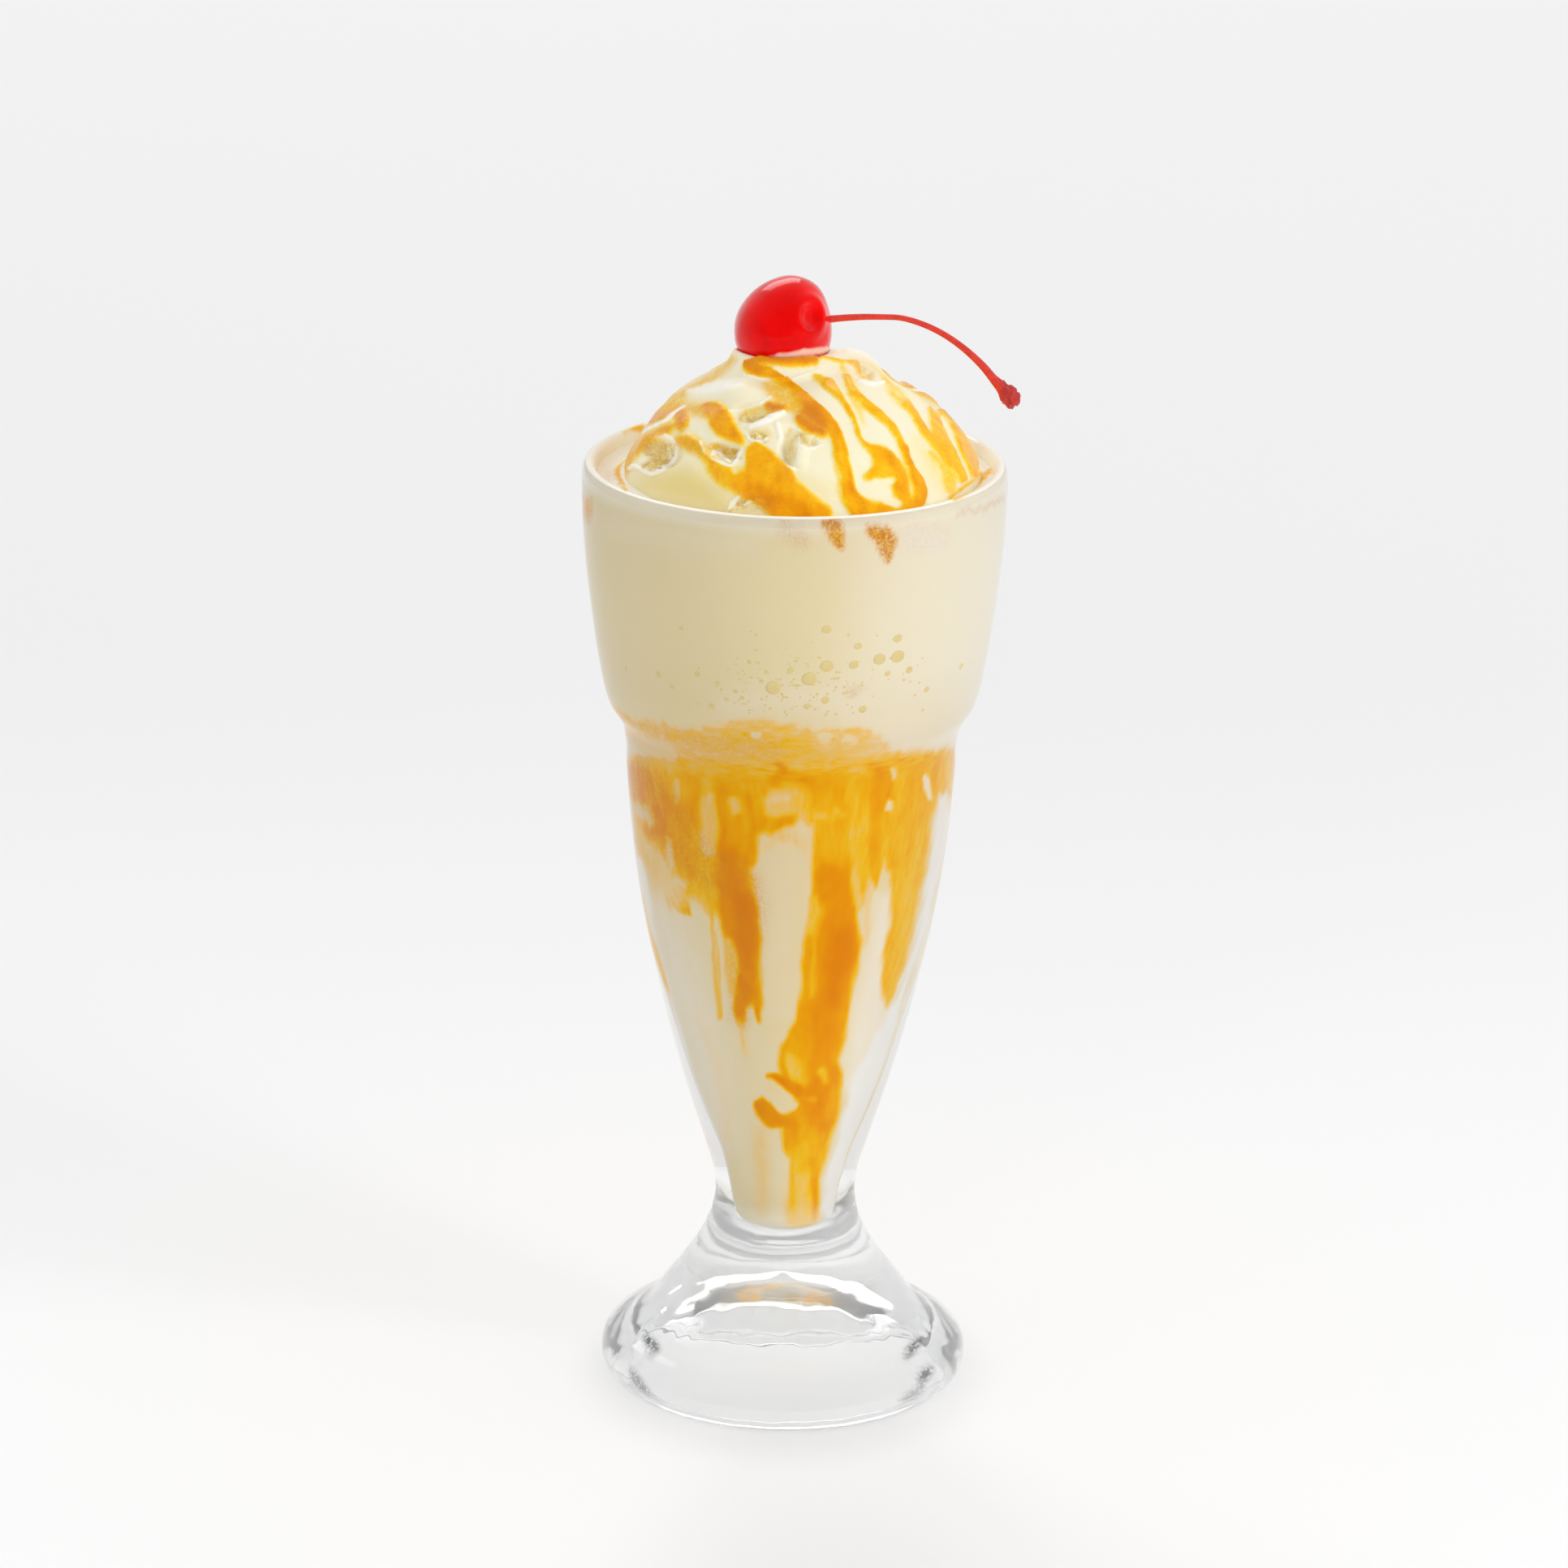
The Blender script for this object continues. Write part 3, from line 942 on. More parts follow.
def cavity_profile(spacing):
    """The inside of the glass, from the middle of its bottom to just under the lip."""
    corner = (CORNER_OUT, CAVITY_BOTTOM + CORNER_RADIUS)
    bottom = oval_arc(corner, CORNER_RADIUS, CORNER_RADIUS, -90, -8, CORNER_STEPS)
    lower = [(6.9, 38.0), (8.2, 50.5), (12.2, 67.0), (17.2, 90.0)]
    upper = [(23.2, 113.0), (28.2, 132.0), (31.0, 144.0), (33.2, 149.8), (36.1, 155.8)]
    collar = [(38.3, 164.0), (39.9, 176.0), (40.9, 188.0), (CAVITY_MOUTH, RIM_LEVEL)]
    return smooth_line([(0.0, CAVITY_BOTTOM), *bottom, *lower, *upper, *collar], spacing)


def outside_profile(spacing):
    """The outside, from under the lip to the foot's rest, top to bottom."""
    collar = [(RIM_RADIUS, RIM_LEVEL), (44.3, 191.5), (43.5, 181.0), (42.3, 171.0), (40.8, 161.0)]
    shoulder = [(39.2, 153.5), (38.6, 151.8), (37.2, 149.6), (35.9, 147.4), (35.2, 144.5)]
    bowl = [(34.7, 136.0), (33.4, 121.0), (31.4, 107.0), (28.6, 93.0), (25.2, 78.5), (21.4, 65.0)]
    neck = [(17.6, 53.0), (15.7, 46.5), (15.0, 41.0), (15.9, 35.5), (18.0, 30.3), (21.3, 25.0)]
    flare = [(25.6, 19.2), (29.6, 14.0), (33.4, 10.6), (36.6, 8.9), (38.6, 7.2)]
    bead = [(39.5, 4.6), (39.0, 1.7), (FOOT_REST, 0.0)]
    return smooth_line([*collar, *shoulder, *bowl, *neck, *flare, *bead], spacing)


def make_glass():
    lip = oval_arc(LIP_CENTRE, LIP_WALL / 2, LIP_RISE, 180, 0, LIP_STEPS)[:-1]
    stretches = [
        # profile, how far it is off round, whether it can carry the foot's dark patches
        (cavity_profile(GLASS_SPACING)[1:-1], 0.0, 0.0),
        (lip, 0.0, 0.0),
        (outside_profile(GLASS_SPACING), FOOT_WAVER, 1.0),
        (smooth_line(UNDERSIDE, GLASS_SPACING)[:-1], UNDERSIDE_WAVER, 0.0),
    ]
    rings = turned(np.vstack([profile for profile, _, _ in stretches]), GLASS_SIDES)
    points = rings.reshape(-1, 3)
    waver, outer = (
        np.repeat([stretch[column] for stretch in stretches for _ in stretch[0]], GLASS_SIDES)
        for column in (1, 2)
    )
    offset = unevenness(points) * waver
    points[:, :2] *= (1 + offset / np.hypot(points[:, 0], points[:, 1]))[:, None]

    at_front = points[:, 1:2] < 0
    places = np.where(at_front, photo_place(points), photo_place(turned_round(points)))
    heights = np.append(points[:, 2], (CAVITY_BOTTOM, HOLLOW_TOP))
    radii = np.append(np.hypot(points[:, 0], points[:, 1]), (0.0, 0.0))
    bead = smoothstep(*BEAD_SHINE_BELOW, heights) * smoothstep(*BEAD_SHINE_OUTSIDE, radii)
    stem = smoothstep(*STEM_CLOUD_ABOVE, heights) * smoothstep(*STEM_CLOUD_BELOW, heights)
    mesh = closed_rings("soda_glass", rings, (0, 0, CAVITY_BOTTOM), (0, 0, HOLLOW_TOP))
    carry(
        mesh,
        shine=np.maximum(bead, smoothstep(*LIP_SHINE_ABOVE, heights)),
        cloud=np.maximum(STEM_CLOUD * stem, FOOT_CLOUD * smoothstep(*FOOT_CLOUD_BELOW, heights)),
        dark=np.append(paint(places, FOOT_DARK) * outer, (0.0, 0.0)),
    )
    mesh.materials.append(glass_finish())
    glass = piece_of("soda_glass", mesh)
    glass.visible_shadow = False
    return glass


def unevenness(points):
    """How far each point of the pressed stem and foot is off round, as a share of the most."""
    low = smoothstep(*UNEVEN_BELOW, points[:, 2])
    waves = ripple(points, BROAD_WAVES, 31) + FINE_WAVES_SHARE * ripple(points, FINE_WAVES, 32)
    return low * waves * smoothstep(*EVEN_WITHIN, np.hypot(points[:, 0], points[:, 1]))


def glass_finish():
    finish = Finish("pressed clear glass")
    cloud = finish.stored("cloud")
    waves = finish.grain(9.0, stretch=0.5, detail=1.0)
    smears = finish.grain(6.0, detail=4.0).over(0.5, 0.8, 0.0, 0.03)
    specks = finish.grain(0.7, detail=3.0).over(0.24, 0.5)
    finish.surface(
        Base_Color=finish.blend(finish.stored("dark") * specks, CLEAR_GLASS, GLASS_DARK),
        Transmission_Weight=1.0,
        IOR=GLASS_INDEX,
        Specular_Tint=GLASS_GLINT,
        Roughness=smears + cloud * 0.12,
        Coat_Weight=finish.stored("shine"),
        Coat_IOR=1.7,
        Coat_Roughness=0.02,
        Normal=finish.bump(waves, 0.10, 0.35),
    )
    finish.cloud_over(cloud, GLASS_CLOUD)
    return finish.material


# Drink


def through_glass(height, radius, azimuths, outside):
    """The points on the outside of the glass at which the drink's wall is seen from the front.

    Azimuths are measured from the front, in radians, and outside is the profile to look through.
    """
    camera = np.array(CAMERA_AT)
    radii, heights = outside[::-1, 0], outside[::-1, 1]
    seen_height = height
    for _ in range(LOOK_THROUGH_ROUNDS):
        outer = np.interp(seen_height, heights, radii)
        slope = math.atan(np.interp(seen_height + 1, heights, radii) - outer)
        down = math.atan2(camera[2] - seen_height, -camera[1] - outer)
        inside = math.asin(math.sin(down + slope) / GLASS_INDEX) - slope
        reach = LOOK_THROUGH_REACH * min(outer, GLASS_INDEX * radius)
        across = np.linspace(-reach, reach, LOOK_THROUGH_STEPS)
        bent = np.arcsin(across / (GLASS_INDEX * radius)) - np.arcsin(across / (GLASS_INDEX * outer))
        found = np.arcsin(across / outer) + bent - np.arcsin(across / -camera[1])
        offset = np.interp(azimuths, found, across)
        impact = offset / GLASS_INDEX
        path = np.sqrt(outer**2 - impact**2) - np.sqrt(radius**2 - impact**2)
        middle_path = outer - radius
        seen_height = height + middle_path * math.tan(inside)
    around = np.arcsin(offset / outer) - np.arcsin(offset / -camera[1])
    return np.column_stack(
        [outer * np.sin(around), -outer * np.cos(around), height + path * math.tan(inside)]
    )


def drink_profile():
    """The drink's wall just inside the glass's, then its film on the lip, and the flat top."""
    wall = cavity_profile(DRINK_SPACING)
    run = np.gradient(wall, axis=0)
    outward = np.column_stack([run[:, 1], -run[:, 0]]) / np.linalg.norm(run, axis=1)[:, None]
    wall = (wall + INTO_WALL * outward)[1:-1]
    lip, over = (
        oval_arc(LIP_CENTRE, LIP_WALL / 2 + off_lip, LIP_RISE + off_lip, first, last, FILM_STEPS)
        for off_lip, first, last in ((-INTO_WALL, 180, FILM_ENDS), (FILM_THICKNESS, FILM_ENDS, 180))
    )
    shore = [over[-1], (41.0, 200.8), (40.4, 200.3), (39.5, 199.9), (38.6, DRINK_LEVEL)]
    film = smooth_line(shore, FILM_SPACING)
    top = [(radius, DRINK_LEVEL) for radius in TOP_RINGS]
    return np.vstack([wall, lip, over[:-1], film, top]), len(wall) + len(lip)


def wall_places(profile, azimuths):
    """The pixels at which the drink's wall shows, by ring and azimuth from the front."""
    outside = outside_profile(DRINK_SPACING)
    seen = [through_glass(height, radius, azimuths, outside) for radius, height in profile]
    return photo_place(np.vstack(seen))


def make_drink():
    profile, wall_rings = drink_profile()
    rings = turned(profile, DRINK_SIDES)
    points = rings.reshape(-1, 3)
    azimuth = np.arctan2(points[:, 0], -points[:, 1])
    radius = np.hypot(points[:, 0], points[:, 1])
    wall_end = wall_rings * DRINK_SIDES
    reach = scoop_reach(np.arctan2(points[wall_end:, 1], points[wall_end:, 0]))
    points[wall_end:, 2] += MOAT_CLIMB * smoothstep(MOAT_WIDTH, 0.0, radius[wall_end:] - reach)

    fray = frayed(points, DRINK_FRAY, DRINK_FRAY_SPAN, 1)
    turn = np.degrees(np.abs(azimuth))
    frontness = smoothstep(*RUNS_TURN, turn + RUNS_TURN_WAVER * ripple(points, RUNS_TURN_SPAN, 3))
    whiteness = smoothstep(*WHITE_TURN, turn)
    layers = [
        # value, runs on the wall, runs on the top, how much of it is the front's
        ("caramel", WALL_SAUCE, MOAT_SAUCE, frontness),
        ("rust", WALL_RUST, MOAT_RUST, frontness),
        ("pale", WALL_PALE, {}, frontness),
        ("white", WALL_WHITE, {}, whiteness),
    ]
    values = {key: 0.0 for key, *_ in layers}
    sides = azimuth[:DRINK_SIDES]
    behind = np.angle(np.exp(1j * (sides + math.pi)))
    for at_back, from_side, seen in ((False, sides, points), (True, behind, turned_round(points))):
        wall = wall_places(profile[:wall_rings], from_side) + fray[:wall_end]
        top = photo_place(seen)[wall_end:] + TOP_FRAY_SHARE * fray[wall_end:]
        for key, wall_runs, top_runs, front_share in layers:
            painted = np.concatenate([paint(wall, wall_runs), paint(top, top_runs)])
            values[key] = values[key] + painted * (1 - front_share if at_back else front_share)
    height = points[:, 2]
    near_top = TOP_WHITE * smoothstep(DRINK_LEVEL - TOP_WHITE_DEPTH, DRINK_LEVEL, height)
    on_lip = LIP_WHITE * smoothstep(DRINK_LEVEL, LIP_WHITE_LEVEL, height)
    values["white"] = np.maximum(values["white"], near_top + on_lip)
    values["white"][wall_end:] = 1.0
    values["falls"] = smoothstep(*STREAKS_BELOW, height)
    values["wet"] = WET * (1 + smoothstep(*WETTER_ABOVE, height)) * (np.arange(len(points)) >= wall_end)

    mesh = closed_rings("milkshake_fill", rings, (0, 0, profile[0][1]), (0, 0, DRINK_LEVEL))
    carry(mesh, **{key: np.append(numbers, (0, 0)) for key, numbers in values.items()})
    mesh.materials.append(drink_finish())
    return piece_of("milkshake_fill", mesh)


def bubble_spots():
    """Where each bubble is on the drink's wall, and its half width, in millimetres."""
    profile, wall_rings = drink_profile()
    azimuths = np.linspace(-math.pi / 2, math.pi / 2, BUBBLE_AZIMUTHS)
    profile = profile[:wall_rings]
    places = wall_places(profile, azimuths)
    radii, heights = profile[:, :1], profile[:, 1:]
    points = np.stack(
        [radii * np.sin(azimuths), -radii * np.cos(azimuths), heights + 0 * azimuths], axis=2
    ).reshape(-1, 3)
    chance = np.random.default_rng(seed=5)
    number = TINY_BUBBLES["number"]
    across, down = (
        chance.normal(middle, spread, number)
        for middle, spread in zip(TINY_BUBBLES["middle"], TINY_BUBBLES["spread"])
    )
    tiny = np.column_stack([across, down, chance.uniform(*TINY_BUBBLES["half"], number)])
    spots = []
    for across, down, half in [*BUBBLES, *tiny]:
        if down > TINY_BUBBLES["lowest"]:
            continue
        nearest = np.argmin(np.hypot(places[:, 0] - across, places[:, 1] - down))
        spots.append((*points[nearest], half / PIXELS_PER_MM))
    front = np.array(spots)
    return np.vstack([front, front * (-1, -1, 1, 1)])


def make_bubbles():
    """Flattened bubbles at the drink's wall, made as instances and then realized."""
    spots = bubble_spots()
    mesh = bpy.data.meshes.new("milkshake_bubbles")
    mesh.from_pydata((spots[:, :3] * MM).tolist(), [], [])
    carry(mesh, size=spots[:, 3] * MM)
    bubbles = piece_of("milkshake_bubbles", mesh)
    tree = bubble_tree(bubble_finish())
    modifier = bubbles.modifiers.new("bubbles", "NODES")
    modifier.node_group = tree
    for name, value in (("Flatness", BUBBLE_FLATNESS), ("Lean", -BUBBLE_LEAN * MM)):
        modifier[tree.interface.items_tree[name].identifier] = value
    made = bpy.data.meshes.new_from_object(bubbles.evaluated_get(bpy.context.evaluated_depsgraph_get()))
    bubbles.modifiers.clear()
    bubbles.data = made
    return bubbles


def bubble_tree(material):
    """Lays a flattened ball on each spot, turned to face outwards from the glass's axis.

    Lean is the height that its outward direction has for each metre, taken as one bubble's.
    """
    tree = bpy.data.node_groups.new("bubbles", "GeometryNodeTree")
    tree.interface.new_socket("Spots", in_out="INPUT", socket_type="NodeSocketGeometry")
    tree.interface.new_socket("Flatness", in_out="INPUT", socket_type="NodeSocketFloat")
    tree.interface.new_socket("Lean", in_out="INPUT", socket_type="NodeSocketFloat")
    tree.interface.new_socket("Geometry", in_out="OUTPUT", socket_type="NodeSocketGeometry")
    nodes = Nodes(tree)
    spots, flatness, lean = nodes.node("NodeGroupInput").outputs[:3]
    shape = {"Segments": BUBBLE_SIDES, "Rings": BUBBLE_RINGS, "Radius": 1.0}
    ball = nodes.node("GeometryNodeMeshUVSphere", {}, shape)
    size = nodes.node("GeometryNodeInputNamedAttribute", {"data_type": "FLOAT"}, {"Name": "size"})
    place = nodes.node("GeometryNodeInputPosition").outputs[0]
    rise = nodes.node("ShaderNodeCombineXYZ", {}, {"Z": lean})
    sockets = {0: place, 1: (1.0, 1.0, 0.0), 2: rise.outputs[0]}
    outward = nodes.node("ShaderNodeVectorMath", {"operation": "MULTIPLY_ADD"}, sockets)
    turn = nodes.node("FunctionNodeAlignRotationToVector", {"axis": "Z"}, {"Vector": outward.outputs[0]})
    flat = nodes.node("ShaderNodeCombineXYZ", {}, {"X": 1.0, "Y": 1.0, "Z": flatness})
    sockets = {0: flat.outputs[0], "Scale": size.outputs[0]}
    scale = nodes.node("ShaderNodeVectorMath", {"operation": "SCALE"}, sockets)
    placed = nodes.node(
        "GeometryNodeInstanceOnPoints",
        {},
        {
            "Points": spots,
            "Instance": ball.outputs[0],
            "Rotation": turn.outputs[0],
            "Scale": scale.outputs[0],
        },
    )
    real = nodes.node("GeometryNodeRealizeInstances", {}, {0: placed.outputs[0]})
    smooth = nodes.node("GeometryNodeSetShadeSmooth", {}, {0: real.outputs[0]})
    painted = nodes.node("GeometryNodeSetMaterial", {}, {0: smooth.outputs[0], "Material": material})
    nodes.node("NodeGroupOutput", {}, {0: painted.outputs[0]})
    return tree


def bubble_finish():
    finish = Finish("bubbles in the milkshake")
    cloudy = finish.grain(1.5, detail=2.0)
    finish.surface(
        Base_Color=finish.blend(cloudy, BUBBLE_DEEP, BUBBLE_PALE),
        Roughness=0.4,
        Specular_IOR_Level=0.0,
    )
    return finish.material


def drink_finish():
    finish = Finish("vanilla milkshake with caramel")
    caramel = finish.stored("caramel")
    rust = finish.stored("rust")
    streaks = finish.grain(4.5, stretch=4.0, detail=6.0, roughness=0.65) - 0.5
    threads = finish.grain(1.1, stretch=9.0, detail=3.0) - 0.5
    specks = finish.grain(0.6, detail=4.0, roughness=0.7) - 0.5
    swirls = finish.grain(4.0, stretch=0.35, detail=5.0, roughness=0.6) - 0.5
    falls = finish.stored("falls")
    open_part = caramel * (1 - caramel) * 4
    bare = caramel.over(0.0, 0.55, 1.0, 0.0)
    loose = (streaks * 0.55 + threads * 0.3) * falls + swirls * (1 - falls) * 0.9 + specks * 0.3
    amount = caramel + streaks * caramel * 0.3 + loose * open_part
    sauce = finish.ramp(amount, CARAMEL_STOPS)
    cloudy = finish.grain(14.0, stretch=1.6, detail=2.0).over(0.35, 0.7, 0.0, 0.16)
    clouded = finish.blend(cloudy * bare, sauce, YELLOW_CLOUD)
    milky = finish.blend(finish.stored("white") * bare * 0.85, clouded, WHITE_CREAM)
    rusted = finish.blend(rust * specks.over(-0.12, 0.10, 0.25, 1.0), milky, RUST)
    finish.surface(
        Base_Color=finish.blend(finish.stored("pale"), rusted, PALE_MARGIN),
        Roughness=0.45,
        Specular_IOR_Level=0.0,
        Coat_Weight=finish.stored("wet"),
        Coat_Roughness=0.1,
        Normal=finish.bump(streaks, 0.06, 0.2),
    )
    return finish.material


# Scoop


def scoop_reach(angle):
    """The scoop's radius at its foot, by the angle round it."""
    right, back, left, front = (SCOOP_REACH[side] for side in ("right", "back", "left", "front"))
    mean = (right + back + left + front) / 4
    oval = (right + left - back - front) / 4
    side, depth = (right - left) / 2, (back - front) / 2
    return mean + side * np.cos(angle) + depth * np.sin(angle) + oval * np.cos(2 * angle)


def broad_relief(across, up):
    """The height of the pits and swells at places across and up the view."""
    rise = np.zeros(len(across))
    for sign, edge, forms in ((-1, PIT_EDGE, PITS), (1, SWELL_EDGE, SWELLS)):
        for x, y, wide, high, size in forms:
            reach = np.hypot((across - x) / wide, (up - y) / high)
            rise += sign * size * (1 - smoothstep(*edge, reach))
    return rise


def lift_skirt(points):
    """Lifts a skirt of melt round the cherry."""
    offset = points[:, :2] - CHERRY_CENTRE[:2]
    distance = np.linalg.norm(offset, axis=1)
    leftward, forward = (-offset / np.maximum(distance, 0.1)[:, None]).T
    rise = SKIRT_BACK + (SKIRT_FRONT - SKIRT_BACK) * (1 + forward) / 2
    rise += SKIRT_LEFT * leftward.clip(0) ** 2
    points[:, 2] += rise * (1 - smoothstep(*SKIRT_FADE, distance - CHERRY_RADIUS))


def seat_cherry(points):
    """Keeps the scoop clear of the cherry."""
    distance = np.linalg.norm(points[:, :2] - CHERRY_CENTRE[:2], axis=1)
    reach = CHERRY_RADIUS + SEAT_GAP
    inside = np.sqrt(np.clip(1 - (distance / reach) ** 2, 0.0, 1.0))
    seat = CHERRY_CENTRE[2] - (CHERRY_BOTTOM + SEAT_GAP) * inside
    points[:, 2] = np.where(distance < reach, np.minimum(points[:, 2], seat), points[:, 2])


def dome_rings():
    """The scoop's plain dome and underside, and how far each point of them faces up."""
    angles = np.linspace(0.0, 2 * math.pi, SCOOP_SIDES, endpoint=False)
    over_dome = np.linspace(0.0, math.pi / 2, SCOOP_RINGS + 1)[1:]
    shares = np.concatenate([np.sin(over_dome), np.linspace(1.0, 0.0, UNDERSIDE_RINGS + 1)[1:-1]])
    upness = np.concatenate([np.cos(over_dome), np.zeros(UNDERSIDE_RINGS - 1)])
    heights = SCOOP_BASE + SCOOP_HEIGHT * (1 - shares**SCOOP_FLATNESS).clip(0) ** SCOOP_SHOULDER
    heights[SCOOP_RINGS:] = SCOOP_BASE
    heights -= SCOOP_SINK * smoothstep(*SINK_FADE, upness)
    reach = shares[:, None] * scoop_reach(angles)[None, :]
    rings = np.stack(
        [reach * np.cos(angles), reach * np.sin(angles), heights[:, None] + 0 * reach], axis=2
    )
    return rings, np.repeat(upness, SCOOP_SIDES)


def scoop_values(points, frontness):
    """The strength of each kind of run at each point, from the front's and the back's."""
    layers = {
        "caramel": SCOOP_SAUCE,
        "rust": SCOOP_RUST,
        "torn": SCOOP_TORN,
        "ridge": SCOOP_RIDGES,
        "shade": SCOOP_SHADE,
    }
    values = dict.fromkeys(layers, 0.0)
    fray = frayed(points, SCOOP_FRAY, SCOOP_FRAY_SPAN, 3)
    for seen, share in ((points, frontness), (turned_round(points), 1 - frontness)):
        places = photo_place(seen) + fray
        for key, runs in layers.items():
            values[key] = values[key] + paint(places, runs) * share
    return values


def fine_relief(points, values):
    """How far sauce, ridges and torn places stand out, with the grain of each."""
    rough = ripple(points, ROUGH_SPAN, 5) + FINE_ROUGH_SHARE * ripple(points, FINE_ROUGH_SPAN, 6)
    coarse = ripple(points, COARSE_SPAN, 7)
    caramel, torn = values["caramel"], values["torn"]
    stand = SAUCE_THICKNESS * smoothstep(*SAUCE_EDGE, caramel) * (1 - SAUCE_LOST_IN_PITS * torn)
    stand += values["ridge"] * (RIDGE_HEIGHT + RIDGE_COARSENESS * coarse)
    stand += torn * (PIT_ROUGHNESS * rough + PIT_COARSENESS * coarse)
    stand += CREAM_ROUGHNESS * rough * (1 - caramel)
    return stand


def make_scoop():
    rings, upness = dome_rings()
    points = rings.reshape(-1, 3)
    tilt_up = np.array((0.0, math.sin(VIEW_TILT), math.cos(VIEW_TILT)))
    to_viewer = np.array((0.0, -math.cos(VIEW_TILT), math.sin(VIEW_TILT)))
    outward = np.column_stack([points[:, :2], upness * SCOOP_REACH["front"]])
    outward /= np.linalg.norm(outward, axis=1)[:, None]
    fade = smoothstep(*FOOT_FADE, upness)[:, None]

    stand = UNEVENNESS * ripple(points, UNEVENNESS_SPAN)
    for seen, facing in ((points, outward), (turned_round(points), turned_round(outward))):
        above = seen - np.array((0.0, 0.0, RIM_LEVEL))
        share = smoothstep(*RELIEF_FACING, facing @ to_viewer)
        stand += broad_relief(above[:, 0], above @ tilt_up) * share
    points += outward * stand[:, None] * fade
    lift_skirt(points)
    values = scoop_values(points, smoothstep(*RUNS_FACING, outward @ to_viewer))
    points += outward * fine_relief(points, values)[:, None] * fade
    seat_cherry(points)

    top = (0, 0, points[:SCOOP_SIDES, 2].mean())
    mesh = closed_rings("ice_cream_scoop", rings, top, (0, 0, SCOOP_BASE - SCOOP_SINK))
    carry(mesh, **{key: np.append(numbers, (0, 0)) for key, numbers in values.items()})
    mesh.materials.append(scoop_finish())
    return piece_of("ice_cream_scoop", mesh)


def scoop_finish():
    finish = Finish("ice cream with caramel")
    caramel = finish.stored("caramel")
    torn = finish.stored("torn")
    fine = finish.grain(0.6, detail=3.0, roughness=0.6) - 0.5
    flow = finish.grain(3.0, stretch=2.0, detail=3.0) - 0.5
    open_part = caramel * (1 - caramel) * 4
    amount = caramel + (flow * 0.5 + fine * 0.3) * open_part + flow * caramel * 0.2
    sauce = finish.ramp(amount, SCOOP_STOPS)
    rust = finish.stored("rust") * fine.over(-0.2, 0.1, 0.6, 1.0)
    browned = finish.blend(rust, sauce, BROWN_CARAMEL)
    bare = (1 - caramel) * (1 - caramel)
    shaded = finish.blend(finish.stored("shade") * bare, browned, SHADED_CREAM)
    rim = finish.stored("ridge").over(0.1, 0.6, 0.0, 0.9) * caramel.over(0.2, 0.6, 1.0, 0.0)
    patches = finish.grain(2.2, detail=5.0, roughness=0.65)
    icy = finish.blend(patches.over(0.38, 0.62), ICY_DEEP, ICY_PALE)
    pitted = finish.blend(torn * bare, shaded, icy)
    colour = finish.blend(rim, pitted, RIDGE_CREAM)
    crystals = finish.grain(0.5, detail=3.0) * (0.12 + torn * 2.0)
    finish.surface(
        Base_Color=colour,
        Roughness=0.42 - caramel * 0.22,
        Specular_IOR_Level=0.15,
        Coat_Weight=caramel * 0.2,
        Coat_IOR=1.3,
        Coat_Roughness=0.1,
        Subsurface_Weight=0.35,
        Subsurface_Scale=0.0007,
        Subsurface_Radius=(1.0, 0.75, 0.4),
        Normal=finish.bump(crystals * (1 - caramel * 0.9), 0.25, 0.7),
    )
    return finish.material


# Cherry


def make_cherry():
    shape = bmesh.new()
    bmesh.ops.create_icosphere(shape, subdivisions=CHERRY_FINENESS, radius=1.0)
    dimple = Vector(DIMPLE_AT).normalized()
    for vertex in shape.verts:
        x, y, z = vertex.co
        vertical = CHERRY_TOP if z > 0 else CHERRY_BOTTOM
        point = Vector((x * CHERRY_RADIUS, y * CHERRY_RADIUS, z * vertical))
        point.x += CHERRY_LEAN * max(0.0, z) ** 2
        spread = (vertex.co - dimple * vertex.co.dot(dimple)).length * CHERRY_RADIUS / DIMPLE_RADIUS
        if vertex.co.dot(dimple) > 0:
            ring = smoothstep(*DIMPLE_RING_INSIDE, spread) * smoothstep(*DIMPLE_RING_OUTSIDE, spread)
            hollow = smoothstep(*DIMPLE_HOLLOW, spread)
            point += dimple * float(DIMPLE_RING * ring - DIMPLE_DEPTH * hollow)
        point += vertex.co * CHERRY_UNEVENNESS * noise.noise(point / CHERRY_UNEVENNESS_SPAN)
        vertex.co = (point + Vector(CHERRY_CENTRE)) * MM
    mesh = bpy.data.meshes.new("cherry_fruit")
    shape.to_mesh(mesh)
    shape.free()
    points = np.array([vertex.co for vertex in mesh.vertices]) / MM
    places = photo_place(points) + frayed(points, CHERRY_FRAY, CHERRY_FRAY_SPAN, 8)
    carry(mesh, milky=paint(places, CHERRY_FILM) * (points[:, 1] < CHERRY_CENTRE[1]))
    mesh.materials.append(cherry_finish())
    return piece_of("cherry_fruit", mesh)


def cherry_finish():
    finish = Finish("candied cherry")
    milky = finish.stored("milky")
    red = finish.ramp(finish.grain(5.0, detail=2.0), CHERRY_STOPS)
    finish.surface(
        Base_Color=finish.blend(milky, red, MELT_ON_CHERRY),
        Roughness=0.14 + milky * 0.2,
        Specular_Tint=(0.0, 0.0, 0.0),
        Coat_Weight=1.0,
        Coat_IOR=1.2,
        Coat_Roughness=0.04,
        Subsurface_Weight=0.2,
        Subsurface_Scale=0.003,
        Subsurface_Radius=(1.0, 0.1, 0.05),
        Normal=finish.bump(finish.grain(1.4, detail=2.0), 0.05, 0.3),
    )
    return finish.material


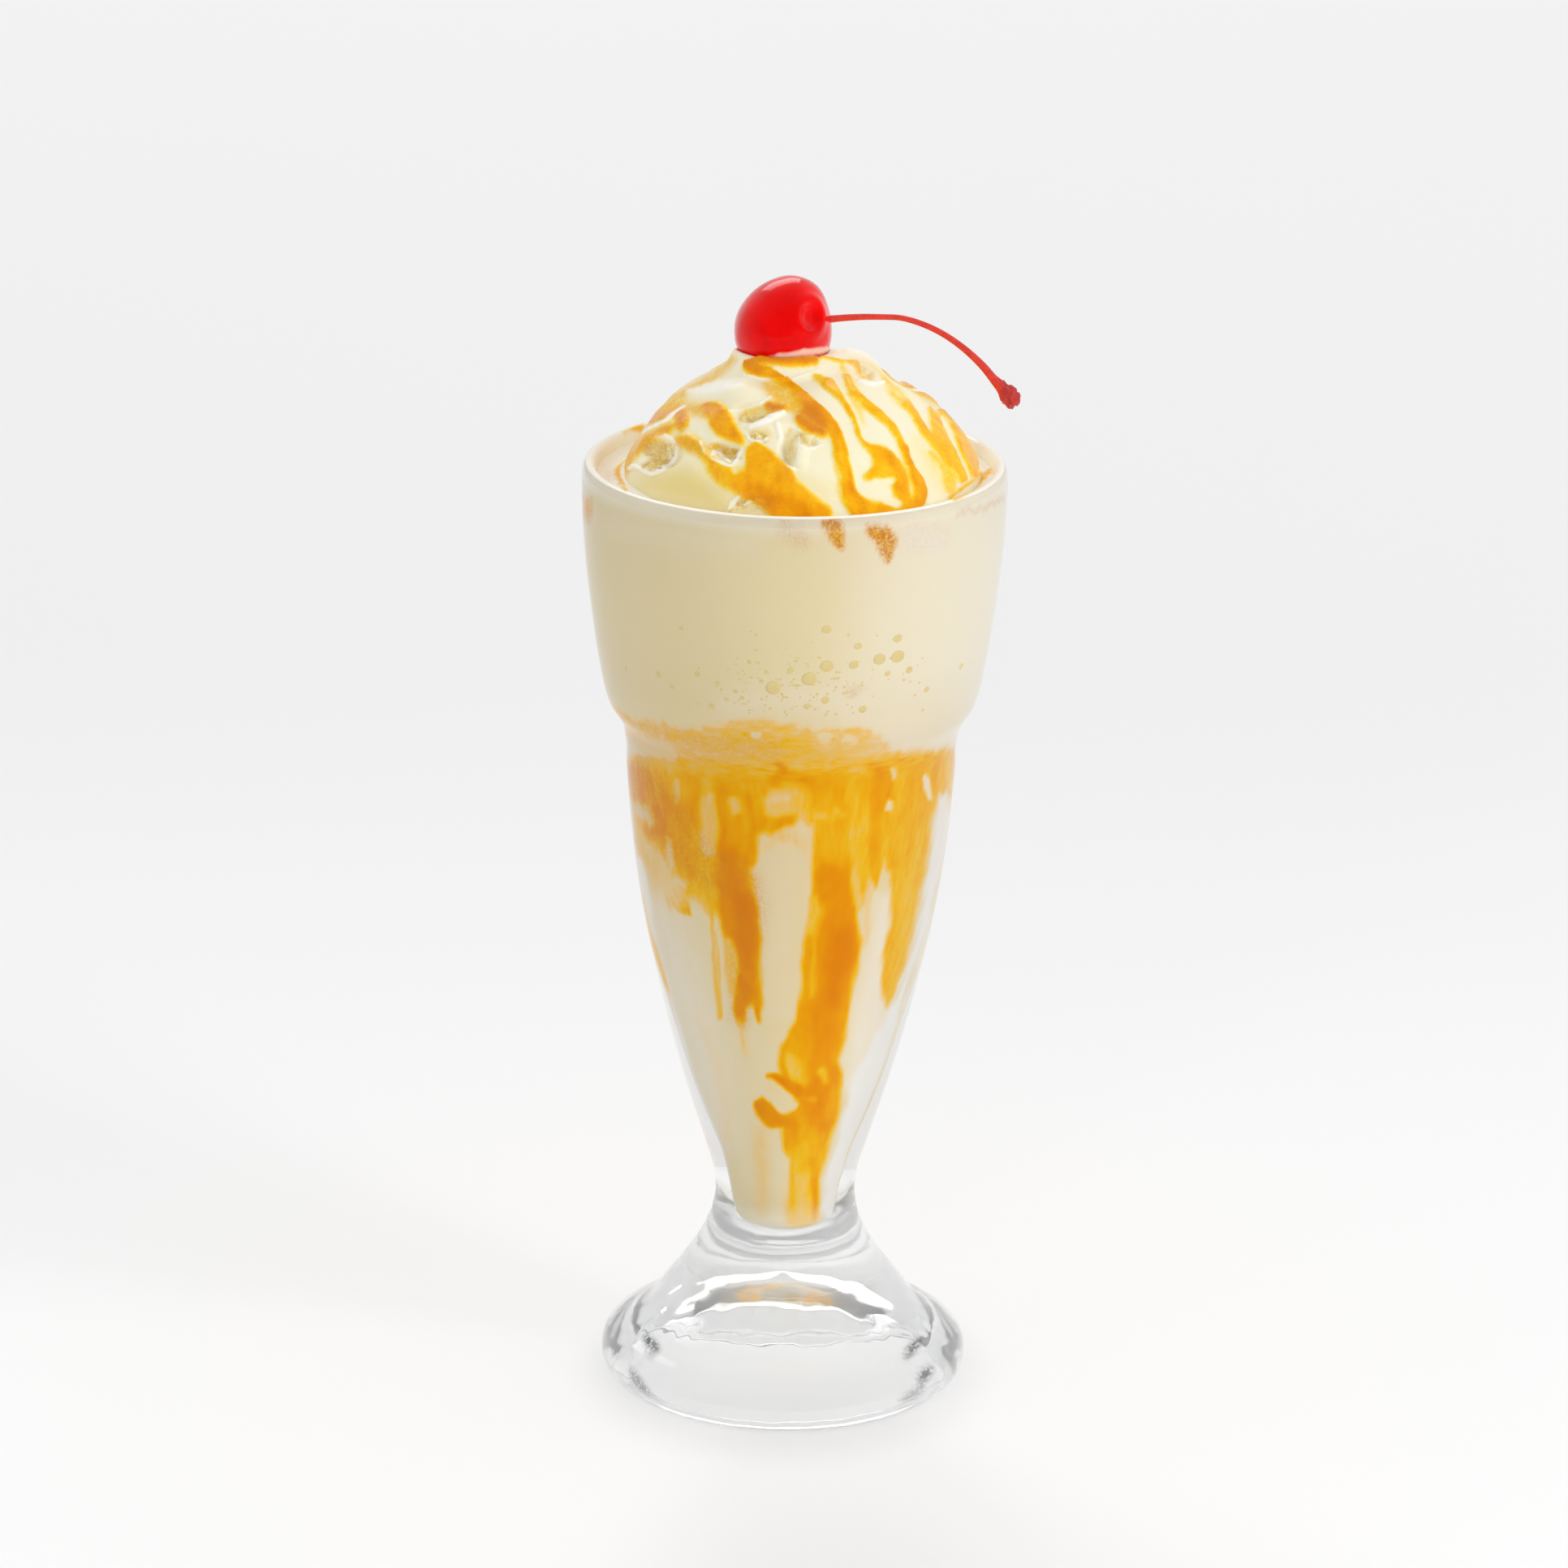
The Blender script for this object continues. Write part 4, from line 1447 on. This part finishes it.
def make_stem():
    """A round thread that widens to a torn end."""
    line = smooth_line(STEM, STEM_SPACING)
    angles = np.linspace(0.0, 2 * math.pi, STEM_SIDES, endpoint=False)
    centres, halves = line[:, :3], line[:, 3]
    way = np.gradient(centres, axis=0)
    way /= np.linalg.norm(way, axis=1)[:, None]
    side = np.cross(way, (0.0, 1.0, 0.0))
    side /= np.linalg.norm(side, axis=1)[:, None]
    back = np.cross(way, side)
    radii = halves[:, None] * (1 + FLUTE_DEPTH * np.cos(STEM_FLUTES * angles))
    round_it = side[:, None, :] * np.cos(angles)[:, None] + back[:, None, :] * np.sin(angles)[:, None]
    rings = centres[:, None, :] + radii[:, :, None] * round_it
    points = rings.reshape(-1, 3)
    tatter = TIP_TATTER * smoothstep(TIP_FROM, TIP_FROM + TATTER_LENGTH, points[:, 0])
    for axis in range(3):
        torn = ripple(points, TATTER_SPAN, 11 + axis)
        torn += FINE_TATTER_SHARE * ripple(points, FINE_TATTER_SPAN, 21 + axis)
        points[:, axis] += tatter * torn
    mesh = closed_rings("cherry_stalk", rings, centres[0], centres[-1])
    carry(mesh, tip=np.append(smoothstep(TIP_FROM, TIP_FROM + TIP_LENGTH, points[:, 0]), (0, 1)))
    mesh.materials.append(stem_finish())
    return piece_of("cherry_stalk", mesh)


def stem_finish():
    finish = Finish("cherry stem")
    tip = finish.stored("tip")
    streak = finish.grain(1.2, detail=3.0)
    red = finish.ramp(streak, STEM_STOPS)
    finish.surface(
        Base_Color=finish.blend(tip * 0.7, red, STEM_TIP),
        Roughness=0.3 + tip * 0.2,
        Coat_Weight=0.4,
        Subsurface_Weight=0.15,
        Subsurface_Scale=0.001,
        Normal=finish.bump(streak, 0.05, 0.4),
    )
    return finish.material


# Stage


def make_stage():
    bpy.ops.mesh.primitive_plane_add(size=FLOOR_SIZE)
    floor = bpy.context.object
    floor.name = "floor"
    finish = Finish("pale floor")
    place = finish.node("ShaderNodeTexCoord").outputs["Object"]
    away = Value(finish, finish.node("ShaderNodeSeparateXYZ", {}, {0: place}).outputs["Y"])
    colour = finish.blend(away.over(*FLOOR_FADE), FLOOR_NEAR, FLOOR_FAR)
    for centre, reach, core, strength in FLOOR_SHADES:
        shade = floor_shade(finish, place, centre, reach, core)
        colour = finish.blend(shade * strength, colour, FLOOR_SHADE)
    finish.surface(Base_Color=colour, Specular_IOR_Level=0.0)
    floor.data.materials.append(finish.material)
    make_sky()
    for lamp in LAMPS:
        soft_box(*lamp)
    bpy.context.scene.view_settings.view_transform = "Standard"


def floor_shade(finish, place, centre, reach, core):
    """An oval on the floor: 1 out to the share core of its reach, and 0 past its reach."""
    scale = (1 / reach[0], 1 / reach[1], 0.0)
    shift = (-centre[0] / reach[0], -centre[1] / reach[1], 0.0)
    sockets = {0: place, 1: scale, 2: shift}
    placed = finish.node("ShaderNodeVectorMath", {"operation": "MULTIPLY_ADD"}, sockets)
    length = finish.node("ShaderNodeVectorMath", {"operation": "LENGTH"}, {0: placed.outputs[0]})
    return Value(finish, length.outputs["Value"]).over(1.0, core)


def make_sky():
    """White all round, and dark towards the camera, as in a studio."""
    world = bpy.data.worlds.new("studio")
    world.use_nodes = True
    bpy.context.scene.world = world
    nodes = Nodes(world.node_tree)
    way = nodes.node("ShaderNodeTexCoord").outputs["Generated"]
    sockets = {0: way, 1: (0.0, -1.0, 0.0)}
    forward = nodes.node("ShaderNodeVectorMath", {"operation": "DOT_PRODUCT"}, sockets)
    strength = Value(nodes, forward.outputs["Value"]).over(*SKY_FADE, SKY_LIGHT, SKY_LIGHT_BY_CAMERA)
    nodes.set(world.node_tree.nodes["Background"], {"Color": (1.0, 1.0, 1.0), "Strength": strength})


def soft_box(name, place, size, power, seen):
    light = bpy.data.lights.new(name, "AREA")
    light.shape = "RECTANGLE"
    light.size, light.size_y = size
    light.energy = power
    lamp = bpy.data.objects.new(name, light)
    lamp.location = place
    lamp.visible_glossy = lamp.visible_transmission = seen
    lamp.rotation_euler = (Vector(LAMPS_AIM) - Vector(place)).to_track_quat("-Z", "Y").to_euler()
    bpy.context.scene.collection.objects.link(lamp)


def main():
    make_camera()
    pieces = [
        # piece, CAD node, slot
        (make_glass(), "glass", "clear_glass"),
        (make_drink(), "milkshake", "milkshake"),
        (make_bubbles(), None, "milkshake"),
        (make_scoop(), "ice_cream", "ice_cream"),
        (make_cherry(), "cherry", "cherry_skin"),
        (make_stem(), "cherry_stem", "cherry_stem"),
    ]
    for piece, node, slot in pieces:
        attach(piece, "root")
        if node:
            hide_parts(node)
    make_stage()


main()
